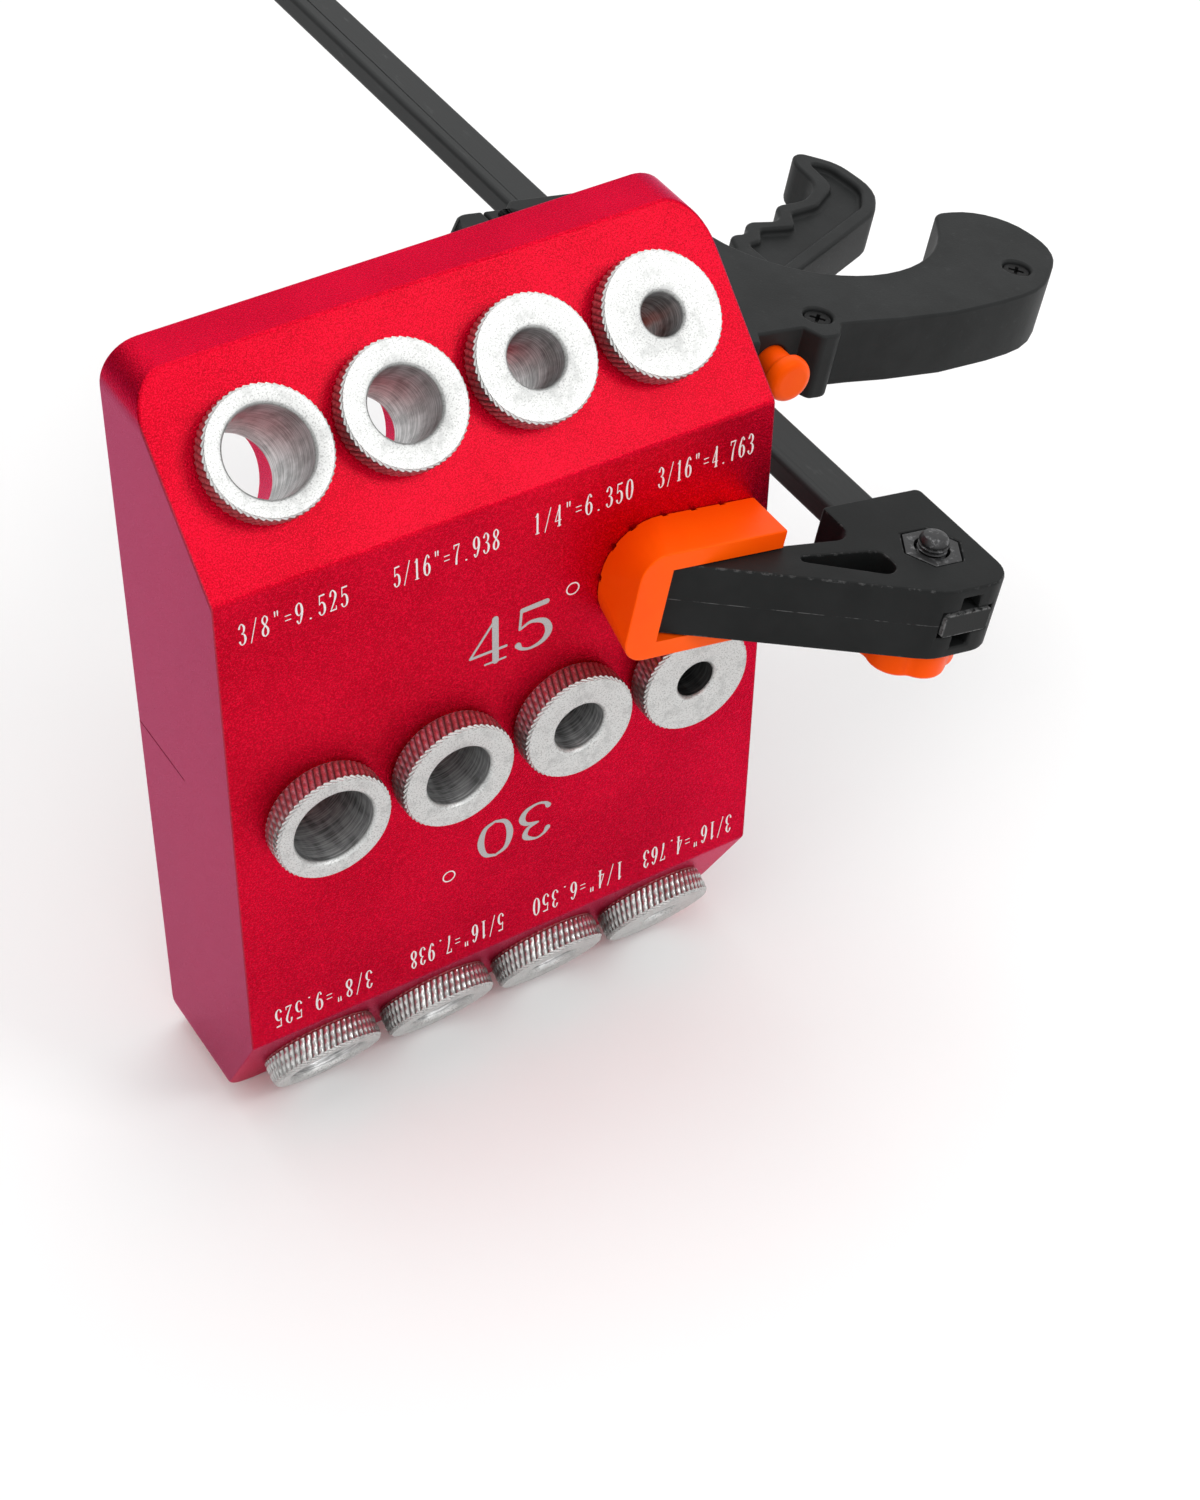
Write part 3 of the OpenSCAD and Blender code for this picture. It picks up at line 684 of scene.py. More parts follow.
class Bench:
    """Blender's modelling tools, used on one piece at a time.

    Points closer than MERGE become one, faces within FLAT of each other are joined, and edges
    that turn by more than SHARP degrees are rounded. NEUTRAL weighs large and small faces as
    they are.
    """

    MERGE = 0.002 * MM
    FLAT = math.radians(0.4)
    NEUTRAL = 50
    SHARP = 28.0

    @staticmethod
    def pick(piece: bpy.types.Object) -> None:
        """Selects one object alone and makes it active.

        Args:
            piece: the object.
        """
        if bpy.context.object and bpy.context.object.mode != "OBJECT":
            bpy.ops.object.mode_set(mode="OBJECT")
        bpy.ops.object.select_all(action="DESELECT")
        piece.select_set(True)
        bpy.context.view_layer.objects.active = piece

    @staticmethod
    def added(name: str, data: bpy.types.ID) -> bpy.types.Object:
        """Adds an object to the scene.

        Args:
            name: its name.
            data: its mesh, curve, lamp or camera.

        Returns:
            The object.
        """
        made = bpy.data.objects.new(name, data)
        bpy.context.scene.collection.objects.link(made)
        return made

    @staticmethod
    def edit(piece: bpy.types.Object, part: str, action: str) -> None:
        """Opens a piece in edit mode.

        Args:
            piece: the object.
            part: VERT or EDGE, what is selected from now on.
            action: SELECT for all of it, or DESELECT.
        """
        Bench.pick(piece)
        bpy.ops.object.mode_set(mode="EDIT")
        bpy.ops.mesh.select_mode(type=part)
        bpy.ops.mesh.select_all(action=action)

    @staticmethod
    def modify(piece: bpy.types.Object, kind: str, **settings: object) -> None:
        """Adds a modifier, sets it and applies it.

        Args:
            piece: the object.
            kind: the modifier's type.
            settings: its settings.
        """
        Bench.pick(piece)
        modifier = piece.modifiers.new(kind.lower(), kind)
        for key, value in settings.items():
            setattr(modifier, key, value)
        bpy.ops.object.modifier_apply(modifier=modifier.name)

    @staticmethod
    def from_node(node: str, name: str) -> bpy.types.Object:
        """Copies a node's mesh as a new piece and joins its loose triangles into faces.

        Args:
            node: the node that is copied.
            name: the new piece's name.

        Returns:
            The new piece.
        """
        piece = Bench.added(name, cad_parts[node].data.copy())
        piece.data.materials.clear()
        Bench.edit(piece, "VERT", "SELECT")
        bpy.ops.mesh.remove_doubles(threshold=Bench.MERGE)
        if piece.data.has_custom_normals:
            bpy.ops.mesh.customdata_custom_splitnormals_clear()
        bpy.ops.mesh.dissolve_limited(angle_limit=Bench.FLAT, delimit=set())
        bpy.ops.object.mode_set(mode="OBJECT")
        return piece

    @staticmethod
    def bevel(
        piece: bpy.types.Object,
        wanted: Callable[[bmesh.types.BMEdge], bool],
        width: float,
        segments: int,
    ) -> None:
        """Rounds some of a piece's edges.

        Args:
            piece: the object.
            wanted: says of an edge whether it is rounded.
            width: the rounding's width in metres.
            segments: faces across it.
        """
        Bench.edit(piece, "EDGE", "DESELECT")
        mesh = bmesh.from_edit_mesh(piece.data)
        for edge in [edge for edge in mesh.edges if wanted(edge)]:
            edge.select_set(True)
        bmesh.update_edit_mesh(piece.data)
        bpy.ops.mesh.bevel(offset=width, segments=segments, affect="EDGES")
        bpy.ops.object.mode_set(mode="OBJECT")

    @staticmethod
    def soften(
        piece: bpy.types.Object,
        width: float,
        segments: int = 2,
        sharper: float = SHARP,
        spare: Callable[[Vector], bool] = lambda middle: False,
    ) -> None:
        """Rounds a piece's sharp edges.

        Args:
            piece: the object.
            width: the rounding's width in metres.
            segments: faces across it.
            sharper: edges that turn by more degrees than this are rounded.
            spare: says of an edge's middle whether it stays sharp.
        """

        def sharp(edge: bmesh.types.BMEdge) -> bool:
            """Says whether an edge is one of them."""
            return (
                len(edge.link_faces) == 2
                and edge.calc_face_angle(0.0) > math.radians(sharper)
                and not spare((edge.verts[0].co + edge.verts[1].co) / 2)
            )

        Bench.bevel(piece, sharp, width, segments)

    @staticmethod
    def smooth(piece: bpy.types.Object, angle: float = 35.0, weighted: bool = True) -> None:
        """Shades a piece smooth.

        Args:
            piece: the object.
            angle: edges that turn by more degrees than this stay sharp.
            weighted: large faces stay flat and their rounded edges take the bend.
        """
        Bench.pick(piece)
        bpy.ops.object.shade_smooth_by_angle(angle=math.radians(angle))
        if weighted:
            Bench.modify(piece, "WEIGHTED_NORMAL", keep_sharp=True, weight=Bench.NEUTRAL)

    @staticmethod
    def turned(
        name: str, profile: list[Pair], segments: int = 48, hollow: bool = True
    ) -> bpy.types.Object:
        """A turned piece about Z, drawn out ring by ring.

        Args:
            name: the piece's name.
            profile: (radius, height) of each ring, in metres.
            segments: vertices round a ring.
            hollow: the last ring meets the first; otherwise both ends get a flat cap.

        Returns:
            The piece, on the Z axis.
        """
        bpy.ops.object.select_all(action="DESELECT")
        radius, height = profile[0]
        fill = "NOTHING" if hollow else "NGON"
        bpy.ops.mesh.primitive_circle_add(
            vertices=segments, radius=radius, fill_type=fill, location=(0.0, 0.0, 0.0)
        )
        piece = bpy.context.object
        piece.name = name
        Bench.edit(piece, "VERT", "SELECT")
        bpy.ops.transform.translate(value=Z * height)
        for wide, high in profile[1:]:
            bpy.ops.mesh.extrude_region()
            bpy.ops.transform.translate(value=Z * (high - height))
            scale = wide / radius
            bpy.ops.transform.resize(value=(scale, scale, 1.0), center_override=Z * high)
            radius, height = wide, high
        bpy.ops.mesh.select_all(action="SELECT")
        bpy.ops.mesh.remove_doubles(threshold=Bench.MERGE / 2)
        bpy.ops.mesh.normals_make_consistent(inside=False)
        bpy.ops.object.mode_set(mode="OBJECT")
        return piece

    @staticmethod
    def block(name: str, corner: Triple, size: Triple) -> bpy.types.Object:
        """A plain block to shape or to cut with.

        Args:
            name: its name.
            corner: its lowest corner.
            size: its three sides.

        Returns:
            The block, with its place in its mesh.
        """
        bpy.ops.object.select_all(action="DESELECT")
        middle = [low + side / 2 for low, side in zip(corner, size)]
        bpy.ops.mesh.primitive_cube_add(size=1.0, location=middle, scale=size)
        bpy.ops.object.transform_apply(location=True, rotation=True, scale=True)
        piece = bpy.context.object
        piece.name = name
        return piece

    @staticmethod
    def cut(piece: bpy.types.Object, corner: Triple, size: Triple) -> None:
        """Takes a block out of a piece.

        Args:
            piece: the object.
            corner: the block's lowest corner.
            size: its three sides.
        """
        cutter = Bench.block("cutter", corner, size)
        Bench.modify(piece, "BOOLEAN", operation="DIFFERENCE", solver="EXACT", object=cutter)
        bpy.data.objects.remove(cutter)

    @staticmethod
    def put(piece: bpy.types.Object, matrix: Matrix) -> None:
        """Keeps each point's own coordinates as the attribute local, then moves the mesh.

        Args:
            piece: the object, at the origin.
            matrix: from its own frame to its place.
        """
        mesh = piece.data
        own = np.empty(len(mesh.vertices) * 3, np.float32)
        mesh.vertices.foreach_get("co", own)
        layer = mesh.attributes.new("local", "FLOAT_VECTOR", "POINT")
        layer.data.foreach_set("vector", own)
        mesh.transform(matrix)
        mesh.update()

    @staticmethod
    def finish(
        piece: bpy.types.Object, finish: Finish, body: str, *nodes: str, more: Iterable[Finish] = ()
    ) -> None:
        """Gives a piece its finish, body and the nodes it stands for.

        Args:
            piece: the object.
            finish: its finish.
            body: the body it rides on.
            nodes: the nodes that it replaces.
            more: finishes of its further material slots.
        """
        for each in (finish, *more):
            piece.data.materials.append(each.material())
        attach(piece, body)
        if nodes:
            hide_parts(*nodes)
        faces = len(piece.data.polygons)
        log.info("%s: %d faces, %s, on %s", piece.name, faces, finish.name, body)


def placed(across: Vector, along: Vector, up: Vector, origin: Vector) -> Matrix:
    """A frame from its three axes and its origin."""
    rows = [(across[i], along[i], up[i], origin[i]) for i in range(3)]
    return Matrix((*rows, (0.0, 0.0, 0.0, 1.0)))


# ---------------------------------------------------------------- the guide


@dataclass
class DrillBushing:
    """One size of press-in bushing, with a diamond-knurled head on a shank below z = 0.

    mouth_curve is how the bore opens to the face, in shares of mouth across and down. The
    knurl has so many teeth each way, which lean by so many degrees, and the rim is drawn with
    steps points for a tooth and with so many bands.
    """

    bore: Bore
    head: float = 7.0 * MM
    thick: float = 3.25 * MM
    shank: float = 6.0 * MM
    reach: float = 12.0 * MM
    chamfer: float = 0.36 * MM
    nose: float = 0.5 * MM
    gap: float = 0.01 * MM
    mouth: float = 0.55 * MM
    mouth_curve: tuple[Pair, ...] = ((0.0, 0.9), (0.16, 0.5), (0.5, 0.16), (1.0, 0.0))
    bore_margin: float = 0.05 * MM
    teeth: int = 54
    steps: int = 6
    bands: int = 12
    lean: float = 21.0
    deep: float = 0.26 * MM
    shallow: float = 0.17 * MM
    steepness: float = 1.2
    crease: float = 26.0

    @property
    def hole(self) -> float:
        """The bore's radius."""
        return self.bore.value / 2 * MM

    def profile(self) -> list[Pair]:
        """The rings from the face's inner edge round the outside and back up the bore."""
        low, high = self.chamfer, self.thick - self.chamfer
        rim = [(self.head, high - (high - low) * i / self.bands) for i in range(self.bands + 1)]
        curve = [
            (self.hole + self.mouth * out, self.thick - self.mouth * down)
            for out, down in self.mouth_curve
        ]
        return [
            curve[-1],
            (self.head - self.chamfer, self.thick),
            *rim,
            (self.head - self.chamfer, self.gap),
            (self.shank, self.gap),
            (self.shank, self.nose - self.reach),
            (self.shank - self.nose, -self.reach),
            (self.hole, -self.reach),
            *curve,
        ]

    def knurl(self, piece: bpy.types.Object) -> None:
        """Presses two sets of leaning grooves into the rim, one deeper than the other.

        Args:
            piece: the turned bushing, whose rim has steps points for each tooth.
        """
        slope = math.tan(math.radians(self.lean)) / self.head
        for vert in piece.data.vertices:
            x, y, z = vert.co
            radius = math.hypot(x, y)
            if radius < self.head - HAIR:
                continue
            turn = math.atan2(y, x)
            leaning = turn + slope * z
            first = self.groove(turn * self.teeth / math.tau)
            second = self.groove((turn + 2 * slope * z) * self.teeth / math.tau)
            radius -= max(self.deep * first, self.shallow * second)
            vert.co = (radius * math.cos(leaning), radius * math.sin(leaning), z)

    def groove(self, phase: float) -> float:
        """How deep a V groove is, from 0 to 1, at a phase in teeth."""
        return max(0.0, 1.0 - abs(2.0 * (phase % 1.0) - 1.0) * self.steepness)

    def build(self) -> bpy.types.Object:
        """Turns the bushing on the Z axis and knurls its rim.

        Returns:
            The bushing, from which the three rows are copied.
        """
        piece = Bench.turned(self.bore.word, self.profile(), self.steps * self.teeth)
        self.knurl(piece)
        for face in piece.data.polygons:
            middle = face.center
            near = abs(middle.xy.length - self.hole) < self.bore_margin
            face.material_index = 1 if near and middle.z < self.thick - self.mouth else 0
        Bench.smooth(piece, self.crease, weighted=False)
        return piece


Stroke = list[Triple]


class Pen:
    """Draws plain figures with a broad pen: thick down, thin across, with small feet.

    A stroke is a list of (x, y, half width). x is a share of the figure's width, and y and
    the half width are shares of its height. A stroke gets CURVE steps between two points and
    CAP steps round each end, its half width is LEAST greater than it says, and LAYER is how
    far strokes that cross lie apart.
    """

    CURVE = 5
    CAP = 5
    LEAST = 0.004
    LAYER = 0.0015 * MM
    SIDE = [
        (0.5, 1.0, 0.02), (0.18, 0.87, 0.04), (0.05, 0.5, 0.06), (0.18, 0.13, 0.04),
        (0.5, 0.0, 0.02),
    ]
    CURL = [
        (0.92, 0.28, 0.058), (0.78, 0.08, 0.04), (0.45, 0.0, 0.02), (0.2, 0.06, 0.025),
        (0.1, 0.17, 0.05),
    ]
    SIX = [
        [(0.84, 0.86, 0.045), (0.68, 0.99, 0.02), (0.42, 0.93, 0.028), (0.14, 0.6, 0.052),
         (0.08, 0.34, 0.06), (0.2, 0.1, 0.04), (0.5, 0.0, 0.018)],
        [(0.5, 0.0, 0.018), (0.82, 0.1, 0.04), (0.93, 0.31, 0.056), (0.8, 0.52, 0.04),
         (0.5, 0.6, 0.018), (0.2, 0.48, 0.02), (0.11, 0.36, 0.03)],
    ]
    FIGURES: dict[str, list[Stroke]] = {
        "0": [SIDE, [(1.0 - x, y, half) for x, y, half in SIDE]],
        "1": [
            [(0.5, 0.98, 0.05), (0.5, 0.02, 0.05)],
            [(0.5, 0.98, 0.02), (0.22, 0.86, 0.02)],
            [(0.2, 0.015, 0.016), (0.8, 0.015, 0.016)],
        ],
        "2": [
            [(0.12, 0.76, 0.05), (0.2, 0.93, 0.03), (0.5, 1.0, 0.025), (0.85, 0.85, 0.045),
             (0.86, 0.66, 0.055), (0.6, 0.4, 0.035), (0.1, 0.03, 0.018)],
            [(0.08, 0.035, 0.035), (0.9, 0.035, 0.035)],
            [(0.9, 0.03, 0.02), (0.94, 0.2, 0.012)],
        ],
        "3": [
            [(0.12, 0.82, 0.05), (0.25, 0.95, 0.025), (0.5, 1.0, 0.02), (0.82, 0.84, 0.05),
             (0.74, 0.62, 0.035), (0.42, 0.54, 0.015)],
            [(0.42, 0.54, 0.015), (0.78, 0.47, 0.035), *CURL],
        ],
        "4": [
            [(0.7, 1.0, 0.05), (0.7, 0.02, 0.05)],
            [(0.7, 0.99, 0.016), (0.04, 0.29, 0.016)],
            [(0.04, 0.28, 0.02), (0.98, 0.28, 0.02)],
            [(0.42, 0.014, 0.014), (0.96, 0.014, 0.014)],
        ],
        "5": [
            [(0.22, 0.95, 0.04), (0.86, 0.96, 0.045)],
            [(0.2, 0.97, 0.018), (0.15, 0.53, 0.018)],
            [(0.16, 0.53, 0.016), (0.45, 0.62, 0.025), (0.8, 0.52, 0.045), *CURL],
        ],
        "6": SIX,
        "7": [
            [(0.08, 0.96, 0.035), (0.92, 0.96, 0.035)],
            [(0.07, 0.97, 0.014), (0.05, 0.8, 0.014)],
            [(0.92, 0.95, 0.016), (0.6, 0.6, 0.03), (0.44, 0.25, 0.045), (0.42, 0.03, 0.052)],
        ],
        "8": [
            [(0.5, 1.0, 0.02), (0.2, 0.9, 0.035), (0.17, 0.73, 0.045), (0.5, 0.54, 0.04),
             (0.86, 0.34, 0.05), (0.84, 0.12, 0.045), (0.5, 0.0, 0.02)],
            [(0.5, 1.0, 0.02), (0.8, 0.9, 0.035), (0.83, 0.74, 0.04), (0.52, 0.55, 0.018),
             (0.14, 0.33, 0.05), (0.16, 0.1, 0.045), (0.5, 0.0, 0.02)],
        ],
        "9": [[(1.0 - x, 1.0 - y, half) for x, y, half in stroke] for stroke in SIX],
        "/": [[(0.04, -0.06, 0.018), (0.96, 1.06, 0.018)]],
        "=": [[(0.1, 0.38, 0.022), (0.9, 0.38, 0.022)], [(0.1, 0.6, 0.022), (0.9, 0.6, 0.022)]],
        ".": [[(0.4, 0.05, 0.045), (0.46, 0.05, 0.045)]],
        '"': [[(0.3, 1.0, 0.035), (0.3, 0.78, 0.02)], [(0.7, 1.0, 0.035), (0.7, 0.78, 0.02)]],
    }

    @staticmethod
    def swept(stroke: Stroke, wide: float, tall: float, left: float, bold: float) -> Stroke:
        """A stroke in metres, with points put between on a smooth curve.

        Args:
            stroke: its points.
            wide: the figure's width in metres.
            tall: the figure's height in metres.
            left: where the figure starts.
            bold: how much broader its strokes are drawn.

        Returns:
            (x, y, half width) of the points.
        """
        points = [
            Vector((left + x * wide, y * tall, (half * bold + Pen.LEAST) * tall))
            for x, y, half in stroke
        ]
        if len(points) == 2:
            return [tuple(point) for point in points]
        padded = [points[0] * 2 - points[1], *points, points[-1] * 2 - points[-2]]
        out = []
        for i in range(len(points) - 1):
            a, b, c, d = padded[i : i + 4]
            for step in range(Pen.CURVE):
                t = step / Pen.CURVE
                smooth = b * 2 + (c - a) * t + (a * 2 - b * 5 + c * 4 - d) * t**2
                out.append(tuple((smooth + (b * 3 - a - c * 3 + d) * t**3) / 2))
        out.append(tuple(points[-1]))
        return out

    @staticmethod
    def outline(path: Stroke) -> list[Pair]:
        """The closed outline of a stroke, with round ends.

        Args:
            path: (x, y, half width) of its points.

        Returns:
            The outline's points.
        """
        near, far, rings = [], [], []
        last = len(path) - 1
        for i, (x, y, half) in enumerate(path):
            before, after = path[max(i - 1, 0)], path[min(i + 1, last)]
            turn = math.atan2(after[1] - before[1], after[0] - before[0])
            side = (-math.sin(turn) * half, math.cos(turn) * half)
            near.append((x + side[0], y + side[1]))
            far.append((x - side[0], y - side[1]))
            if i in (0, last):
                start = turn + math.pi / 2 if i else turn - math.pi / 2
                cap = [start - math.pi * k / Pen.CAP for k in range(1, Pen.CAP)]
                rings.append([(x + half * math.cos(a), y + half * math.sin(a)) for a in cap])
        nose, tail = rings
        return [*near, *tail, *reversed(far), *nose]

    @staticmethod
    def draw(name: str, strokes: list[tuple[int, Stroke]], thick: float) -> bpy.types.Object:
        """Flat solid strokes in the XY plane.

        Args:
            name: the piece's name.
            strokes: (layer, points in metres); strokes that cross lie in different layers.
            thick: their thickness.

        Returns:
            The mesh.
        """
        layers = []
        for layer in sorted({layer for layer, _ in strokes}):
            data = bpy.data.curves.new(f"{name}_{layer}", "CURVE")
            data.dimensions = "2D"
            data.fill_mode = "BOTH"
            data.extrude = thick / 2
            for path in (path for each, path in strokes if each == layer):
                outline = Pen.outline(path)
                spline = data.splines.new("POLY")
                spline.points.add(len(outline) - 1)
                for point, (x, y) in zip(spline.points, outline):
                    point.co = (x, y, 0.0, 1.0)
                spline.use_cyclic_u = True
            Bench.pick(Bench.added(f"{name}_{layer}", data))
            bpy.ops.object.convert(target="MESH")
            made = bpy.context.object
            made.data.transform(Matrix.Translation(Z * Pen.LAYER * layer))
            layers.append(made)
        Bench.pick(layers[0])
        for made in layers:
            made.select_set(True)
        if len(layers) > 1:
            bpy.ops.object.join()
        piece = bpy.context.object
        piece.name = name
        return piece

    @staticmethod
    def written(
        name: str, text: str, size: Pair, fill: float, bold: float, thick: float
    ) -> bpy.types.Object:
        """Figures in a row, centred on the origin.

        Args:
            name: the piece's name.
            text: the figures.
            size: the whole row's width and the figures' height.
            fill: how much of its place each figure fills.
            bold: how much broader than plain the strokes are.
            thick: their thickness.

        Returns:
            The mesh.
        """
        wide, tall = size
        pitch = wide / len(text)
        strokes = []
        for place, figure in enumerate(text):
            left = (place + (1 - fill) / 2) * pitch - wide / 2
            for layer, stroke in enumerate(Pen.FIGURES[figure]):
                strokes.append((layer, Pen.swept(stroke, pitch * fill, tall, left, bold)))
        piece = Pen.draw(name, strokes, thick)
        piece.data.transform(Matrix.Translation(Y * -tall / 2))
        return piece


@dataclass(frozen=True)
class RowMarks:
    """The marks of a sloped row: its size labels, its angle and the ring that stands for degrees.

    Places are (x, z) on the front face and sizes are (width, height), all in millimetres.
    """

    row: Row
    flipped: bool
    label_places: tuple[float, ...]
    label_widths: tuple[float, ...]
    label_up: float
    label_tall: float
    angle: Pair
    angle_size: Pair
    angle_fill: float
    angle_bold: float
    ring: Pair


@dataclass
class GuideBlock:
    """The crimson block with its bushings and marks.

    bushing_turns is how far each row and each place turns the bushings about their axes, in
    radians. line_size is the index line's half length and half width, and its edges in the
    block, which lie within line_room of the side and of line_up, stay sharp. ring_radii are
    the outer and the inner one.
    """

    width: float = 67.0 * MM
    depth: float = 23.0 * MM
    front: float = 66.0 * MM
    slope: float = 17.0 * MM
    front_tilt: float = 30.0
    first: float = 10.55 * MM
    row_shift: float = 0.4 * MM
    edge: float = 0.3 * MM
    edge_segments: int = 3
    edge_sharper: float = 20.0
    crease: float = 30.0
    line_up: float = 49.9 * MM
    line_back: float = 0.9 * MM
    line_sunk: float = 0.17 * MM
    line_size: Pair = (5.35 * MM, 0.08 * MM)
    line_room: Pair = (0.25 * MM, 0.35 * MM)
    bushing_turns: Pair = (0.7, 1.9)
    mark_thick: float = 0.05 * MM
    label_fill: float = 0.6
    label_bold: float = 0.72
    ring_radii: Pair = (0.84 * MM, 0.68 * MM)
    labels: tuple[str, ...] = ('3/8"=9.525', '5/16"=7.938', '1/4"=6.350', '3/16"=4.763')
    rows: tuple[RowMarks, ...] = (
        RowMarks(
            row=Row.FORTY_FIVE,
            flipped=False,
            label_places=(-24.65, -7.0, 9.5, 24.85),
            label_widths=(12.768, 12.864, 12.576, 12.576),
            label_up=78.35,
            label_tall=2.7,
            angle=(0.55, 64.5),
            angle_size=(11.2, 6.0),
            angle_fill=0.84,
            angle_bold=1.25,
            ring=(8.3, 67.6),
        ),
        RowMarks(
            row=Row.THIRTY,
            flipped=True,
            label_places=(-24.1, -6.65, 9.75, 25.15),
            label_widths=(12.864, 12.768, 12.768, 12.96),
            label_up=20.45,
            label_tall=2.9,
            angle=(1.15, 34.7),
            angle_size=(10.6, 5.4),
            angle_fill=0.8,
            angle_bold=1.3,
            ring=(-7.6, 31.7),
        ),
    )

    @property
    def front_y(self) -> float:
        """Where the front face stands."""
        return -(self.slope * math.tan(math.radians(self.front_tilt)) + self.depth) / 2

    def seat(self, row: Row, place: int) -> Matrix:
        """The seat of one bushing, with +Z out of the block.

        Args:
            row: its row.
            place: 0 to 3 from the left.

        Returns:
            From the bushing's frame to the block's.
        """
        turn = math.radians(row.tilt)
        along = 0.0 if row is Row.NINETY else self.slope / math.cos(turn) / 2 + self.row_shift
        share = {Row.FORTY_FIVE: 1.0, Row.NINETY: 0.5, Row.THIRTY: 0.0}[row]
        up = -1 if row is Row.THIRTY else 1
        pitch = (self.width - 2 * self.first) / 3
        x = -self.width / 2 + self.first + place * pitch
        y = self.front_y + along * math.sin(abs(turn))
        z = self.slope + self.front * share + up * along * math.cos(turn)
        return Matrix.Translation((x, y, z)) @ Matrix.Rotation(math.pi / 2 - turn, 4, "X")

    def body(self) -> None:
        """The block itself, with broken edges and a sharp index line."""
        beside, above = self.line_room
        side = -self.width / 2

        def at_line(spot: Vector) -> bool:
            """Says whether an edge belongs to the line."""
            return spot.x < side + beside and abs(spot.z - self.line_up) < above

        piece = Bench.from_node("guide_block", "guide_block_milled")
        Bench.soften(piece, self.edge, self.edge_segments, self.edge_sharper, at_line)
        Bench.smooth(piece, self.crease)
        Bench.finish(piece, RED, "guide", "guide_block")

    def bushings(self) -> None:
        """The twelve bushings in their seats, three copies of each size."""
        by_row, by_place = self.bushing_turns
        for place, bore in enumerate(Bore):
            master = DrillBushing(bore).build()
            for count, row in enumerate(Row):
                node = f"bushing_{row.value}_{bore.word}"
                piece = Bench.added(node + "_turned", master.data.copy())
                turn = by_row * count + by_place * place
                piece.data.transform(Matrix.Rotation(turn, 4, "Z"))
                Bench.put(piece, self.seat(row, place))
                # Painted shade: the middle row's bores take darker copies of the steel, the
                # smallest near black.
                bores = BORED
                if row is Row.NINETY:
                    bores = DEEPLY_SHADED_BORE if bore is Bore.THREE_SIXTEENTHS else SHADED_BORE
                Bench.finish(piece, STEEL, "guide", node, more=(bores,))
            bpy.data.objects.remove(master)

    def mark(self, piece: bpy.types.Object, spot: Pair, flipped: bool, finish: Finish) -> None:
        """Puts a flat mark on the front face.

        Args:
            piece: a mesh in the XY plane.
            spot: its middle on the face in millimetres.
            flipped: it reads upside down.
            finish: its finish.
        """
        sign = -1.0 if flipped else 1.0
        x, z = spot
        origin = Vector((x * MM, self.front_y, z * MM))
        Bench.pick(piece)
        piece.data.transform(placed(X * sign, Z * sign, -Y, origin))
        Bench.finish(piece, finish, "guide")

    def label(self, marks: RowMarks, place: int) -> None:
        """One bore's size label.

        Args:
            marks: its row's marks.
            place: 0 to 3 from the left.
        """
        name = f"label_{marks.row.value}_{list(Bore)[place].word}"
        size = (marks.label_widths[place] * MM, marks.label_tall * MM)
        piece = Pen.written(
            name, self.labels[place], size, self.label_fill, self.label_bold, self.mark_thick
        )
        self.mark(piece, (marks.label_places[place], marks.label_up), marks.flipped, MARK)

    def angle(self, marks: RowMarks) -> None:
        """A row's angle number.

        Args:
            marks: the row's marks.
        """
        text = str(marks.row.value)
        wide, tall = marks.angle_size
        size = (wide * MM, tall * MM)
        piece = Pen.written(
            f"angle_{text}", text, size, marks.angle_fill, marks.angle_bold, self.mark_thick
        )
        self.mark(piece, marks.angle, marks.flipped, BIG_MARK)

    def degree(self, marks: RowMarks) -> None:
        """The ring beside a row's angle.

        Args:
            marks: the row's marks.
        """
        high = self.mark_thick / 2
        wide, narrow = self.ring_radii
        section = [(wide, -high), (wide, high), (narrow, high), (narrow, -high), (wide, -high)]
        ring = Bench.turned(f"degree_{marks.row.value}", section)
        self.mark(ring, marks.ring, False, MARK)

    def index_line(self) -> None:
        """The scribed line on the left side, at the middle row's height."""
        reach, half = self.line_size
        stroke = [(-reach, 0.0, half), (reach, 0.0, half)]
        line = Pen.draw("index_line", [(0, stroke)], self.mark_thick)
        side = Vector((self.line_sunk - self.width / 2, self.line_back, self.line_up))
        line.data.transform(placed(-Y, Z, -X, side))
        Bench.finish(line, MARK, "guide")

    def build(self) -> None:
        """Block, bushings and marks."""
        self.body()
        self.bushings()
        for place in range(len(self.labels)):
            for marks in self.rows:
                self.label(marks, place)
        for marks in self.rows:
            self.angle(marks)
        for marks in self.rows:
            self.degree(marks)
        self.index_line()


# ---------------------------------------------------------------- the clamp


